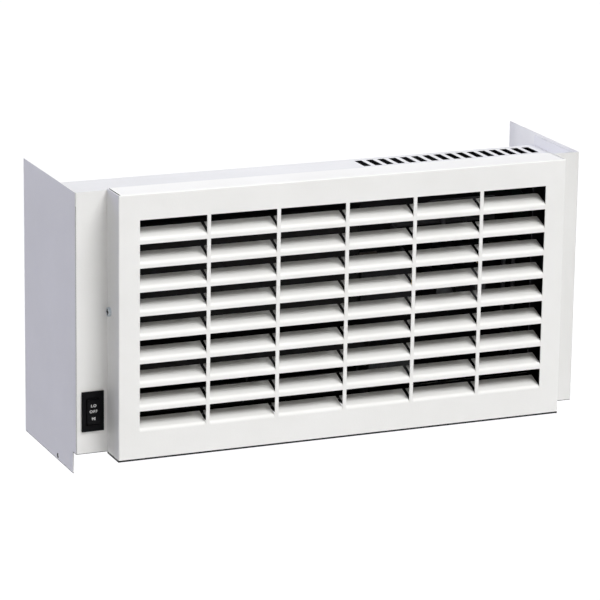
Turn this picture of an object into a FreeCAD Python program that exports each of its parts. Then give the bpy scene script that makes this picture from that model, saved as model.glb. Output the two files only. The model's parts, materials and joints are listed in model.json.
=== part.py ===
import FreeCAD, Part
import math
import os
import re

import Sketcher
from FreeCAD import Placement, Rotation, Vector

# Wall-mounted propane heater: folded sheet cabinet, louvred cover, burner, heat exchanger and fan.
# Millimetres, +Z up, the room on the -Y side. The origin lies on the wall plane, at the centre of
# the four wall screw holes, which is also the middle of the side panels' back edges.

SIZES = {
    # Cabinet sheet metal
    "cabinet_width": 570,
    "panel_height": 300,
    "panel_depth": 167,
    "tab_drop": 23,
    "tab_setback": 10,
    "tab_hole_radius": 2.1,
    "tab_hole_depth": 59,
    "tab_hole_rise": 4.5,
    "sheet_gauge": 1,
    "bend_radius": 1,
    "fit_gap": 0.3,
    "body_depth": 106.5,
    "deck_recess": 14,
    "deck_end_lip": 11,
    "body_flange": 12,
    "rear_screw_inset": 12,
    "rear_screw_middle": 95,
    "rear_screw_rise": 7,
    "floor_lip": 15,
    # Outlet slots of the top deck and inlet slots of the bottom panel
    "slot_count": 16,
    "slot_pitch": 13.3,
    "slot_width": 8.1,
    "slot_length": 27,
    "slot_side_inset": 13.5,
    "slot_back_inset": 10,
    "inlet_count": 16,
    "inlet_pitch": 16,
    "inlet_width": 9,
    "inlet_length": 52,
    # Louvred cover
    "cover_width": 502,
    "cover_height": 281,
    "cover_depth": 35,
    "cover_rise": 2,
    "cover_bend_radius": 0.3,
    "corner_slit": 1.4,
    "side_margin": 22.8,
    "top_margin": 27.2,
    "bottom_margin": 30.3,
    "divider_width": 4,
    "web_height": 2.9,
    "louvre_rows": 9,
    "louvre_columns": 6,
    "louvre_turn": 70,
    "louvre_bend_radius": 3.5,
    "collar_depth": 18,
    "cover_screw_setback": 8.3,
    "cover_screw_rise": 151.7,
    # Screws
    "screw_head_radius": 4.8,
    "screw_head_height": 2.6,
    "screw_radius": 2,
    "screw_clearance": 0.2,
    "screw_length": 9,
    "foot_screw_length": 5,
    "recess_span": 5.4,
    "recess_width": 1.1,
    "recess_depth": 1.5,
    # Wall rails
    "rail_gauge": 1.5,
    "rail_height": 26,
    "rail_length": 460,
    "wall_hole_pitch": 406.4,
    "wall_row_inset": 50,
    "wall_hole_radius": 3.5,
    "rail_screw_pitch": 350,
    # Rocker switch
    "switch_inset": 17.85,
    "switch_rise": 45.3,
    "bezel_width": 23.7,
    "bezel_height": 42.5,
    "bezel_proud": 2,
    "switch_width": 20.8,
    "switch_height": 36.4,
    "switch_depth": 28,
    "switch_clearance": 0.15,
    "paddle_width": 13.7,
    "paddle_reach": 14,
    "paddle_proud": 5,
    "paddle_dish": 48,
    "paddle_dip": 1.7,
    "paddle_gap": 0.4,
    "paddle_tail": 3,
    "pivot_depth": 1,
    "pivot_radius": 1.5,
    "pivot_length": 1.6,
    "rocker_room": 7,
    "running_gap": 0.05,
    "terminal_width": 6.3,
    "terminal_gauge": 0.8,
    "terminal_length": 9,
    "terminal_pitch": 10,
    # Cross-flow fan and its motor
    "switch_bay": 62,
    "control_bay": 235,
    "fan_to_rear": 50,
    "fan_to_floor": 48,
    "wheel_radius": 30,
    "wheel_disc": 2,
    "wheel_end_gap": 6,
    "blade_count": 28,
    "blade_chord": 9,
    "ring_lap": 2,
    "blade_lean": 4,
    "blade_gauge": 0.9,
    "hub_radius": 9,
    "hub_length": 12,
    "shaft_radius": 4,
    "shaft_overhang": 8,
    "scroll_gap": 4,
    "scroll_wrap": 120,
    "scroll_start": 30,
    "plate_gauge": 1.5,
    "plate_margin": 12,
    "foot_length": 16,
    "tongue_height": 32,
    "bush_radius": 8,
    "bush_flange": 2.5,
    "bush_inside": 2.5,
    "motor_radius": 31,
    "motor_length": 52,
    "motor_boss": 11,
    "motor_bush_radius": 5,
    "motor_bush_length": 5,
    "motor_bolt_circle": 22,
    # Sealed combustion chamber
    "chamber_end_gap": 8,
    "chamber_half_depth": 36,
    "chamber_to_fan": 24,
    "chamber_to_deck": 28,
    "chamber_gauge": 1.2,
    "chamber_round": 10,
    "seam_width": 7,
    "chamber_bracket_width": 20,
    "chamber_bracket_inset": 36,
    # Burner and combustion air
    "burner_radius": 11,
    "burner_wall": 1,
    "burner_rise": 25,
    "burner_setback": 18,
    "burner_inset": 26,
    "burner_mouth": 14,
    "port_count": 24,
    "port_pitch": 6.5,
    "port_width": 1.6,
    "port_depth": 5,
    "gasket_gauge": 1.5,
    "burner_plate_gauge": 2,
    "plug_gap": 0.1,
    "air_box_half_height": 24,
    "air_box_half_depth": 16,
    "air_box_length": 55,
    "orifice_radius": 6,
    "orifice_length": 24,
    "orifice_tip": 3,
    "orifice_bore": 0.8,
    "orifice_tip_length": 6,
    "orifice_tail": 8,
    "flue_radius": 25,
    "flue_offset": 60,
    "flue_to_rail": 1,
    "air_pipe_radius": 19,
    "pipe_wall": 1,
    "pipe_step": 0.6,
    "pipe_to_wall": 8,
    "vent_gasket_width": 8,
    "vent_gasket_gauge": 3,
    # Electrodes and limit switch
    "spark_rise": 34,
    "sensor_rise": 52,
    "insulator_radius": 4,
    "insulator_length": 44,
    "insulator_inside": 20,
    "electrode_radius": 1.2,
    "electrode_reach": 30,
    "limit_radius": 8,
    "limit_height": 8,
    # Gas train
    "valve_gap": 28,
    "valve_length": 58,
    "valve_half_depth": 20,
    "valve_below": 22,
    "valve_above": 14,
    "coil_radius": 12,
    "coil_height": 26,
    "coil_pitch": 27,
    "gas_pipe_radius": 4,
    "gas_pipe_bore": 3,
    "supply_bend": 14,
    "supply_run": 6,
    "fitting_radius": 10.5,
    "fitting_nut": 8,
    "flare_radius": 7.9,
    "flare_length": 26,
    "cock_radius": 11,
    "cock_height": 8,
    "cock_gap": 0.5,
    "cock_stem_radius": 3,
    "cock_stem_length": 10,
    "cock_bar_width": 4,
    "cock_bar_height": 3,
    "shelf_drop": 28,
    # Control board
    "board_width": 62,
    "board_height": 64,
    "board_gauge": 1.6,
    "board_side_gap": 12,
    "board_rise": 20.5,
    "standoff_radius": 3.5,
    "standoff_length": 12,
    "standoff_inset": 6,
    "relay_width": 20,
    "relay_depth": 15,
    "relay_height": 14,
    "relay_pitch": 18,
    "plug_width": 34,
    "plug_depth": 9,
    "plug_height": 11,
    "plug_lap": 1.5,
    "plug_pin_pitch": 12,
    "relay_offset": 5,
    # Internal leads
    "lead_radius": 2.4,
    "lead_bend": 12,
    "lead_front_gap": 6,
    "lead_floor_gap": 8,
    "lead_stub": 14,
    "lead_side_step": 4,
    "electrode_lead_run": 35,
}

# Places that several sub-parts share, as expressions of the sizes
SIDE_IN = "(cabinet_width/2 - sheet_gauge)"
FRONT = "(-panel_depth)"
STRIP_BACK = "(-panel_depth + sheet_gauge)"
TOP = "(panel_height/2)"
BOTTOM = "(-panel_height/2)"
STRIP_BOTTOM = "(-panel_height/2 + tab_drop)"
FLOOR = f"({STRIP_BOTTOM} + sheet_gauge)"
DECK = "(panel_height/2 - deck_recess)"
DECK_UNDER = f"({DECK} - sheet_gauge)"
BODY_BACK = "(-panel_depth + body_depth)"
REAR_BACK = f"({BODY_BACK} - sheet_gauge)"
REAR_FRONT = f"({BODY_BACK} - 2*sheet_gauge)"
RAIL_Z = [f"({BOTTOM} + wall_row_inset)", f"({TOP} - wall_row_inset)"]
COLLAR = "(cover_width/2 - sheet_gauge - fit_gap - bend_radius)"
COVER_TOP = f"({TOP} + cover_rise)"
COVER_BOTTOM = f"({TOP} + cover_rise - cover_height)"
COVER_FRONT = f"({FRONT} - cover_depth)"
COVER_SCREW_Y = f"({FRONT} - cover_screw_setback)"
COVER_SCREW_Z = f"({STRIP_BOTTOM} + cover_screw_rise)"

SWITCH_X = "(-cabinet_width/2 + switch_inset)"
SWITCH_Z = f"({STRIP_BOTTOM} + switch_rise)"
SWITCH_BACK = f"({FRONT} + switch_depth)"
PIVOT_Y = f"({FRONT} + pivot_depth)"

BAY_LEFT = f"(-{SIDE_IN} + switch_bay)"
BAY_RIGHT = f"({SIDE_IN} - control_bay)"
FAN_Y = f"({REAR_FRONT} - fan_to_rear)"
FAN_Z = f"({FLOOR} + fan_to_floor)"
WHEEL_LEFT = f"({BAY_LEFT} + plate_gauge + wheel_end_gap)"
WHEEL_RIGHT = f"({BAY_RIGHT} - plate_gauge - wheel_end_gap)"
SCROLL_IN = "(wheel_radius + scroll_gap)"
FAN_REACH = f"({SCROLL_IN} + plate_gauge)"
PLATE_TOP = f"({FAN_Z} + {FAN_REACH} + plate_margin/2)"
PLATE_FRONT = f"({FAN_Y} - {FAN_REACH} - plate_margin/2)"
MOTOR_FACE = f"({BAY_RIGHT} + motor_bush_length)"
MOTOR_BACK = f"({MOTOR_FACE} + motor_length)"

CHAMBER_LEFT = f"({BAY_LEFT} + chamber_end_gap)"
CHAMBER_RIGHT = f"({BAY_RIGHT} - chamber_end_gap)"
CHAMBER_BOTTOM = f"({PLATE_TOP} + chamber_to_fan)"
CHAMBER_TOP = f"({DECK_UNDER} - chamber_to_deck)"
CHAMBER_FRONT = f"({FAN_Y} - chamber_half_depth)"
CHAMBER_BACK = f"({FAN_Y} + chamber_half_depth)"

BURNER_Y = f"({CHAMBER_FRONT} + burner_setback)"
BURNER_Z = f"({CHAMBER_BOTTOM} + burner_rise)"
BURNER_PLATE = f"({CHAMBER_RIGHT} + gasket_gauge)"
AIR_BOX_LEFT = f"({BURNER_PLATE} + burner_plate_gauge)"
AIR_BOX_RIGHT = f"({AIR_BOX_LEFT} + air_box_length)"
AIR_BOX_BACK = f"({BURNER_Y} + air_box_half_depth)"
AIR_PIPE_X = f"({AIR_BOX_LEFT} + air_box_length/2)"
FLUE_X = f"(({CHAMBER_LEFT} + {CHAMBER_RIGHT})/2 - flue_offset)"
FLUE_Z = f"({RAIL_Z[1]} - rail_height/2 - flue_to_rail - vent_gasket_width - flue_radius)"
FLUE_STEM = "(flue_radius - pipe_step)"
AIR_STEM = "(air_pipe_radius - pipe_step)"
PIPE_END = "(-pipe_to_wall)"
PIPE_SHOULDER = f"({REAR_BACK} + vent_gasket_gauge)"

VALVE_LEFT = f"({AIR_BOX_RIGHT} + valve_gap)"
VALVE_RIGHT = f"({VALVE_LEFT} + valve_length)"
VALVE_FRONT = f"({BURNER_Y} - valve_half_depth)"
VALVE_BACK = f"({BURNER_Y} + valve_half_depth)"
VALVE_BOTTOM = f"({BURNER_Z} - valve_below)"
VALVE_TOP = f"({BURNER_Z} + valve_above)"
VALVE_X = f"({VALVE_LEFT} + valve_length/2)"
VALVE_Z = f"(({VALVE_BOTTOM} + {VALVE_TOP})/2)"
COIL_TOP = f"({VALVE_TOP} + coil_height)"
INLET_X = f"({VALVE_RIGHT} + supply_run + supply_bend)"
FITTING_FRONT = f"({REAR_FRONT} - fitting_nut)"
FITTING_BACK = f"({REAR_BACK} + fitting_nut)"

BOARD_RIGHT = f"({SIDE_IN} - board_side_gap)"
BOARD_LEFT = f"({BOARD_RIGHT} - board_width)"
BOARD_BOTTOM = f"({BURNER_Z} + board_rise)"
BOARD_TOP = f"({BOARD_BOTTOM} + board_height)"
BOARD_BACK = f"({REAR_FRONT} - standoff_length)"
BOARD_FRONT = f"({BOARD_BACK} - board_gauge)"
PLUG_X = f"(({BOARD_LEFT} + {BOARD_RIGHT})/2)"
PLUG_Y = f"({BOARD_FRONT} - plug_depth/2)"
PLUG_UNDER = f"({BOARD_BOTTOM} + plug_lap - plug_height)"
RELAY_X = f"({PLUG_X} - relay_offset)"
RELAY_Y = f"({BOARD_FRONT} - relay_depth/2)"
SPARK_Z = f"({BURNER_Z} + spark_rise)"
SENSOR_Z = f"({BURNER_Z} + sensor_rise)"
RELAY_Z = [SPARK_Z, SENSOR_Z, f"({SENSOR_Z} + relay_pitch)"]

REAR_TOP = f"({DECK_UNDER} - bend_radius - fit_gap)"
REAR_BOTTOM = f"({FLOOR} + bend_radius + fit_gap)"
REAR_SCREW_X = [
    f"(-{SIDE_IN} + rear_screw_inset)",
    "(-rear_screw_middle)",
    "(rear_screw_middle)",
    f"({SIDE_IN} - rear_screw_inset)",
]
REAR_SCREW_Z = [f"({STRIP_BOTTOM} + rear_screw_rise)", f"({DECK} - rear_screw_rise)"]
RAIL_SCREW_X = ["(-rail_screw_pitch/2)", "(rail_screw_pitch/2)"]

PLANE_AXES = {"XY_Plane": (0, 1), "XZ_Plane": (0, 2), "YZ_Plane": (1, 2)}
AXIS_TURN = {
    "x": Rotation(Vector(0, 1, 0), 90),
    "y": Rotation(Vector(1, 0, 0), -90),
    "z": Rotation(),
}
NEAR = 1e-6
VOLUME_TOLERANCE = 0.01

doc = FreeCAD.newDocument("WallHeater")
sheet = doc.addObject("Spreadsheet::Sheet", "dims")
for row, (alias, number) in enumerate(SIZES.items(), start=1):
    sheet.set(f"A{row}", alias)
    sheet.set(f"B{row}", str(number))
    sheet.setAlias(f"B{row}", alias)
doc.recompute()


# Expressions

def link(text):
    """The expression with each size's name pointing at its cell."""
    return re.sub(r"[A-Za-z_]\w*", lambda word: cell_name(word.group(0)), text)


def cell_name(word):
    return f"dims.{word}" if word in SIZES else word


def value(text):
    return float(sheet.evalExpression(link(text)))


def bind(item, prop, text):
    item.setExpression(prop, link(text))


# Part primitives and booleans

def box(name, x, y, z):
    """A block between pairs of faces: x, y and z are (low, high)."""
    item = doc.addObject("Part::Box", name)
    for side, base, (low, high) in (("Length", "x", x), ("Width", "y", y), ("Height", "z", z)):
        bind(item, side, f"({high}) - ({low})")
        bind(item, f"Placement.Base.{base}", low)
    return item


def rod(name, axis, centre, radius, span):
    """A cylinder along an axis: centre gives the other two coordinates in order."""
    item = doc.addObject("Part::Cylinder", name)
    bind(item, "Radius", radius)
    return lay_along(item, axis, centre, span)


def hexagon(name, axis, centre, radius, span):
    """A six-sided bar along an axis, with the radius to its corners."""
    item = doc.addObject("Part::Prism", name)
    item.Polygon = 6
    bind(item, "Circumradius", radius)
    return lay_along(item, axis, centre, span)


def lay_along(item, axis, centre, span):
    item.Placement = Placement(Vector(), AXIS_TURN[axis])
    low, high = span
    bind(item, "Height", f"({high}) - ({low})")
    others = [letter for letter in "xyz" if letter != axis]
    for letter, text in zip(others, centre):
        bind(item, f"Placement.Base.{letter}", text)
    bind(item, f"Placement.Base.{axis}", low)
    return item


def compound(name, items):
    item = doc.addObject("Part::Compound", name)
    item.Links = items
    return item


def cut(name, base, tools):
    item = doc.addObject("Part::Cut", name)
    item.Base = base
    item.Tool = tools[0] if len(tools) == 1 else compound(f"{name}_tools", tools)
    return item


def fuse(name, items):
    item = doc.addObject("Part::MultiFuse", name)
    item.Shapes = items
    item.Refine = True
    return item


def common(name, base, tool):
    item = doc.addObject("Part::Common", name)
    item.Base = base
    item.Tool = tool
    return item


def tube(name, axis, centre, outer, inner, span):
    """A pipe: a cylinder with a bore right through."""
    return cut(
        name,
        rod(f"{name}_outside", axis, centre, outer, span),
        [rod(f"{name}_bore", axis, centre, inner, span)],
    )


def around(centre, half):
    return (f"{centre} - ({half})", f"{centre} + ({half})")


# Sketches and features

def plane(body, role):
    return next(item for item in body.Origin.OriginFeatures if item.Role == role)


def sketch(body, name, role, offset="0"):
    item = body.newObject("Sketcher::SketchObject", name)
    item.AttachmentSupport = [(plane(body, role), "")]
    item.MapMode = "FlatFace"
    bind(item, "AttachmentOffset.Base.z", offset)
    return item


def hold(drawing, kind, *args):
    return drawing.addConstraint(Sketcher.Constraint(kind, *args))


def hold_size(drawing, text, kind, *args, unit=""):
    """A constraint whose value follows an expression of the sizes."""
    index = hold(drawing, kind, *args)
    bind(drawing, f"Constraints[{index}]", f"({text}){unit}")


def hold_point(drawing, shape, end, across, up):
    hold_size(drawing, across, "DistanceX", -1, 1, shape, end, value(across))
    hold_size(drawing, up, "DistanceY", -1, 1, shape, end, value(up))


def polygon(drawing, points):
    """A closed outline of straight lines, each corner at its own pair of expressions."""
    first = drawing.GeometryCount
    count = len(points)
    spots = [Vector(value(across), value(up), 0) for across, up in points]
    for index in range(count):
        drawing.addGeometry(Part.LineSegment(spots[index], spots[(index + 1) % count]))
    for index in range(count):
        hold(drawing, "Coincident", first + index, 2, first + (index + 1) % count, 1)
    for index, (across, up) in enumerate(points):
        hold_point(drawing, first + index, 1, across, up)


def rectangle(drawing, across, up):
    polygon(drawing, [(across[0], up[0]), (across[1], up[0]), (across[1], up[1]), (across[0], up[1])])


def circle(drawing, across, up, radius):
    centre = Vector(value(across), value(up), 0)
    index = drawing.addGeometry(Part.Circle(centre, Vector(0, 0, 1), value(radius)))
    hold_point(drawing, index, 3, across, up)
    hold_size(drawing, radius, "Radius", index, value(radius))


def pad(body, name, profile, length, backwards=False):
    item = body.newObject("PartDesign::Pad", name)
    item.Profile = profile
    item.Reversed = backwards
    bind(item, "Length", length)
    doc.recompute()
    return item


def pocket(body, name, profile, length):
    """A cut to both sides of its sketch; it has to take something away."""
    before = body.Tip.Shape.Volume
    item = body.newObject("PartDesign::Pocket", name)
    item.Profile = profile
    item.SideType = "Symmetric"
    bind(item, "Length", length)
    doc.recompute()
    if item.Shape.Volume > before - NEAR:
        raise RuntimeError(f"{name} cuts nothing")
    return item


def round_edges(body, name, edges, radius):
    base = body.Tip
    item = body.newObject("PartDesign::Fillet", name)
    item.Base = (base, edges)
    bind(item, "Radius", radius)
    doc.recompute()
    return item


def edges_where(shape, test):
    return [f"Edge{index}" for index, edge in enumerate(shape.Edges, start=1) if test(edge)]


def edges_at(shape, role, points):
    """The edges that run square to a plane through the given points of it."""
    first, second = PLANE_AXES[role]
    spots = [(value(across), value(up)) for across, up in points]

    def runs_through(edge):
        ends = [vertex.Point for vertex in edge.Vertexes]
        return any(
            all(abs(end[first] - spot[0]) < NEAR and abs(end[second] - spot[1]) < NEAR for end in ends)
            for spot in spots
        )

    return edges_where(shape, runs_through)


def folded_sheet(name, role, points, inner, outer, start, length, gauge="sheet_gauge"):
    """A sheet bent along straight lines: its folded section, swept square to a plane.

    inner and outer number the section's corners inside and outside each bend.
    """
    body = doc.addObject("PartDesign::Body", name)
    section = sketch(body, f"{name}_section", role, start)
    polygon(section, points)
    pad(body, f"{name}_sheet", section, length)
    inside = edges_at(body.Tip.Shape, role, [points[index] for index in inner])
    round_edges(body, f"{name}_inner_bends", inside, "bend_radius")
    outside = edges_at(body.Tip.Shape, role, [points[index] for index in outer])
    round_edges(body, f"{name}_outer_bends", outside, f"bend_radius + {gauge}")
    return body


def repeat(body, name, originals, axis, spacing, count, backwards=False):
    item = body.newObject("PartDesign::LinearPattern", name)
    item.Originals = originals
    item.Direction = (plane(body, axis), [""])
    item.Reversed = backwards
    item.Mode = "Spacing"
    bind(item, "Offset", spacing)
    bind(item, "Occurrences", count)
    body.Tip = item
    doc.recompute()
    return item


def tray(name, across, up, offset, depth, backwards, radius, gauge):
    """A hollow tray, open on the plane that it starts from, with bends round its closed face."""
    body = doc.addObject("PartDesign::Body", name)
    outline = sketch(body, f"{name}_outline", "XZ_Plane", offset)
    rectangle(outline, across, up)
    block = pad(body, f"{name}_block", outline, depth, backwards)
    open_at = value(f"-({offset})")

    def on_the_face(edge):
        return all(abs(vertex.Point.y - open_at) > NEAR for vertex in edge.Vertexes)

    rounded = round_edges(body, f"{name}_rounds", edges_where(block.Shape, on_the_face), radius)
    mouth = [
        f"Face{index}"
        for index, face in enumerate(rounded.Shape.Faces, start=1)
        if abs(face.CenterOfMass.y - open_at) < NEAR
    ]
    shell = body.newObject("PartDesign::Thickness", f"{name}_shell")
    shell.Base = (rounded, mouth)
    shell.Reversed = True
    bind(shell, "Value", gauge)
    doc.recompute()
    return body


# Screws

def screw(name, axis, sign, centre, face, length="screw_length", recess=False):
    """A pan-head screw whose head sits on a face and whose shank runs along sign times the axis."""
    head_out = f"({face}) - ({sign})*screw_head_height"
    tip = f"({face}) + ({sign})*{length}"
    head_span = (head_out, face) if sign > 0 else (face, head_out)
    shank_span = (face, tip) if sign > 0 else (tip, face)
    head = rod(f"{name}_head", axis, centre, "screw_head_radius", head_span)
    shank = rod(f"{name}_shank", axis, centre, "screw_radius", shank_span)
    whole = fuse(f"{name}_blank" if recess else name, [head, shank])
    if not recess:
        return whole
    floor = f"({head_out}) + ({sign})*recess_depth"
    deep = (head_out, floor) if sign > 0 else (floor, head_out)
    long_side = "recess_span/2"
    short_side = "recess_width/2"
    wings = []
    for label, first, second in (("a", long_side, short_side), ("b", short_side, long_side)):
        spans = {axis: deep}
        others = [letter for letter in "xyz" if letter != axis]
        spans[others[0]] = around(centre[0], first)
        spans[others[1]] = around(centre[1], second)
        wings.append(box(f"{name}_recess_{label}", spans["x"], spans["y"], spans["z"]))
    return cut(name, whole, wings)


# Cabinet

def side_panel(name, side, switch_side):
    """Side wall, front strip and cover collar from one sheet, with a tab below on the switch's side."""
    outer = f"({side})*cabinet_width/2"
    inner = f"({side})*{SIDE_IN}"
    collar = f"({side})*{COLLAR}"
    collar_in = f"({side})*({COLLAR} - sheet_gauge)"
    points = [
        (outer, "0"),
        (outer, FRONT),
        (collar, FRONT),
        (collar, f"{FRONT} - collar_depth"),
        (collar_in, f"{FRONT} - collar_depth"),
        (collar_in, STRIP_BACK),
        (inner, STRIP_BACK),
        (inner, "0"),
    ]
    body = folded_sheet(
        name, "XY_Plane", points, (2, 6), (1, 5), STRIP_BOTTOM, "panel_height - tab_drop"
    )
    pilot = sketch(body, f"{name}_pilot", "YZ_Plane", collar)
    circle(pilot, COVER_SCREW_Y, COVER_SCREW_Z, "screw_radius + running_gap")
    pocket(body, f"{name}_pilot_drilling", pilot, "4*sheet_gauge")
    if switch_side:
        tab = sketch(body, f"{name}_tab_outline", "XY_Plane", BOTTOM)
        rectangle(tab, (outer, inner), (f"{FRONT} + tab_setback", "0"))
        pad(body, f"{name}_tab", tab, "tab_drop")
        hole = sketch(body, f"{name}_tab_hole", "YZ_Plane", outer)
        circle(hole, f"{FRONT} + tab_hole_depth", f"{BOTTOM} + tab_hole_rise", "tab_hole_radius")
        pocket(body, f"{name}_tab_drilling", hole, "4*sheet_gauge")
        window = sketch(body, f"{name}_window", "XZ_Plane", "panel_depth")
        rectangle(
            window,
            around(SWITCH_X, "switch_width/2 + switch_clearance"),
            around(SWITCH_Z, "switch_height/2 + switch_clearance"),
        )
        pocket(body, f"{name}_switch_window", window, "4*sheet_gauge")


def relieve_corners(body):
    """Notches at a panel's front corners, clear of the bends between side walls and strips."""
    room = "(bend_radius + fit_gap)"
    notch = sketch(body, f"{body.Name}_notch_outline", "XY_Plane")
    for side in (-1, 1):
        rectangle(
            notch,
            (f"({side})*({SIDE_IN} - {room})", f"({side})*({SIDE_IN} + {room})"),
            (f"{STRIP_BACK} - {room}", f"{STRIP_BACK} + {room}"),
        )
    pocket(body, f"{body.Name}_notches", notch, "2*panel_height")


def top_deck():
    """Recessed top with an upturned front lip, upturned ends and a row of outlet slots."""
    name = "top_deck"
    lip_back = f"({STRIP_BACK} + sheet_gauge)"
    points = [
        (STRIP_BACK, TOP),
        (lip_back, TOP),
        (lip_back, DECK),
        (BODY_BACK, DECK),
        (BODY_BACK, f"{DECK} - body_flange"),
        (REAR_BACK, f"{DECK} - body_flange"),
        (REAR_BACK, DECK_UNDER),
        (STRIP_BACK, DECK_UNDER),
    ]
    body = folded_sheet(
        name, "YZ_Plane", points, (2, 6), (3, 7), f"-{SIDE_IN}", f"2*{SIDE_IN}"
    )
    for side in (-1, 1):
        label = "left" if side < 0 else "right"
        lip = sketch(body, f"{name}_{label}_lip_outline", "XY_Plane", DECK_UNDER)
        rectangle(
            lip,
            (f"({side})*{SIDE_IN}", f"({side})*({SIDE_IN} - sheet_gauge)"),
            (f"{lip_back} + bend_radius", f"{BODY_BACK} - bend_radius - sheet_gauge"),
        )
        pad(body, f"{name}_{label}_lip", lip, "deck_end_lip + sheet_gauge")
    relieve_corners(body)
    slot = sketch(body, f"{name}_slot_outline", "XY_Plane", DECK_UNDER)
    slot_right = "(cabinet_width/2 - slot_side_inset)"
    slot_back = f"({BODY_BACK} - slot_back_inset)"
    rectangle(slot, (f"{slot_right} - slot_width", slot_right), (f"{slot_back} - slot_length", slot_back))
    first = pocket(body, f"{name}_slot", slot, "6*sheet_gauge")
    repeat(body, f"{name}_slots", [first], "X_Axis", "slot_pitch", "slot_count", backwards=True)


def bottom_panel():
    """Floor of the body, with upturned front and back edges and a row of air inlets."""
    name = "bottom_panel"
    lip_back = f"({STRIP_BACK} + sheet_gauge)"
    points = [
        (STRIP_BACK, STRIP_BOTTOM),
        (BODY_BACK, STRIP_BOTTOM),
        (BODY_BACK, f"{STRIP_BOTTOM} + body_flange"),
        (REAR_BACK, f"{STRIP_BOTTOM} + body_flange"),
        (REAR_BACK, FLOOR),
        (lip_back, FLOOR),
        (lip_back, f"{STRIP_BOTTOM} + floor_lip"),
        (STRIP_BACK, f"{STRIP_BOTTOM} + floor_lip"),
    ]
    body = folded_sheet(
        name, "YZ_Plane", points, (4, 5), (0, 1), f"-{SIDE_IN}", f"2*{SIDE_IN}"
    )
    relieve_corners(body)
    inlet = sketch(body, f"{name}_inlet_outline", "XY_Plane", STRIP_BOTTOM)
    inlet_left = f"({BAY_LEFT} + foot_length)"
    rectangle(
        inlet,
        (inlet_left, f"{inlet_left} + inlet_width"),
        (f"{FAN_Y} - inlet_length/2", f"{FAN_Y} + inlet_length/2"),
    )
    first = pocket(body, f"{name}_inlet", inlet, "4*sheet_gauge")
    repeat(body, f"{name}_inlets", [first], "X_Axis", "inlet_pitch", "inlet_count")
    feet = sketch(body, f"{name}_foot_holes", "XY_Plane", STRIP_BOTTOM)
    for across, up in foot_spots(-1) + foot_spots(1):
        circle(feet, across, up, "screw_radius + running_gap")
    pocket(body, f"{name}_foot_drilling", feet, "4*sheet_gauge")


def rear_panel():
    """Back of the body, with holes for the vent pipes, the gas inlet and its screws."""
    blank = box(
        "rear_panel_blank",
        (f"-{SIDE_IN} + fit_gap", f"{SIDE_IN} - fit_gap"),
        (REAR_FRONT, REAR_BACK),
        (REAR_BOTTOM, REAR_TOP),
    )
    through = (f"{REAR_FRONT} - sheet_gauge", f"{REAR_BACK} + sheet_gauge")
    holes = [
        rod("rear_panel_flue_hole", "y", (FLUE_X, FLUE_Z), f"{FLUE_STEM} + plug_gap", through),
        rod("rear_panel_air_hole", "y", (AIR_PIPE_X, BURNER_Z), f"{AIR_STEM} + plug_gap", through),
        rod("rear_panel_gas_hole", "y", (INLET_X, VALVE_Z), "flare_radius + plug_gap", through),
    ]
    spots = [(x, z) for x in REAR_SCREW_X for z in REAR_SCREW_Z]
    spots += [(x, z) for x in RAIL_SCREW_X for z in RAIL_Z]
    pilot = "screw_radius + running_gap"
    for index, spot in enumerate(spots):
        holes.append(rod(f"rear_panel_screw_hole_{index}", "y", spot, pilot, through))
    cut("rear_panel", blank, holes)


def rear_flange_holes():
    """Clearance holes for the rear screws in the deck's and the bottom panel's back flanges."""
    for name, height in (("bottom_panel", REAR_SCREW_Z[0]), ("top_deck", REAR_SCREW_Z[1])):
        body = doc.getObject(name)
        for index, spot in enumerate(REAR_SCREW_X):
            hole = sketch(body, f"{name}_rear_hole_{index}", "XZ_Plane", f"-{BODY_BACK}")
            circle(hole, spot, height, "screw_radius + screw_clearance")
            pocket(body, f"{name}_rear_drilling_{index}", hole, "3*sheet_gauge")


def rear_screws():
    items = []
    for column, x in enumerate(REAR_SCREW_X):
        for row, z in enumerate(REAR_SCREW_Z):
            items.append(screw(f"rear_screw_{column}_{row}", "y", -1, (x, z), BODY_BACK))
    compound("rear_screws", items)


def wall_rail(name, height):
    """Channel that stands the body off the wall, with two wall screw holes."""
    low = f"({height} - rail_height/2)"
    high = f"({height} + rail_height/2)"
    points = [
        (REAR_BACK, low),
        ("0", low),
        ("0", high),
        ("-rail_gauge", high),
        ("-rail_gauge", f"{low} + rail_gauge"),
        (f"{REAR_BACK} + rail_gauge", f"{low} + rail_gauge"),
        (f"{REAR_BACK} + rail_gauge", high),
        (REAR_BACK, high),
    ]
    body = folded_sheet(
        name, "YZ_Plane", points, (4, 5), (0, 1), "-rail_length/2", "rail_length", "rail_gauge"
    )
    for index, sign in enumerate((-1, 1)):
        wall = sketch(body, f"{name}_wall_hole_{index}", "XZ_Plane")
        circle(wall, f"({sign})*wall_hole_pitch/2", height, "wall_hole_radius")
        pocket(body, f"{name}_wall_drilling_{index}", wall, "4*rail_gauge")
        pilot = sketch(body, f"{name}_pilot_{index}", "XZ_Plane", f"-({REAR_BACK} + rail_gauge/2)")
        circle(pilot, RAIL_SCREW_X[index], height, "screw_radius + running_gap")
        pocket(body, f"{name}_pilot_drilling_{index}", pilot, "3*rail_gauge")


def rail_screws():
    items = []
    for column, x in enumerate(RAIL_SCREW_X):
        for row, z in enumerate(RAIL_Z):
            items.append(screw(f"rail_screw_{column}_{row}", "y", 1, (x, z), REAR_FRONT))
    compound("rail_screws", items)


# Louvred cover

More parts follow.
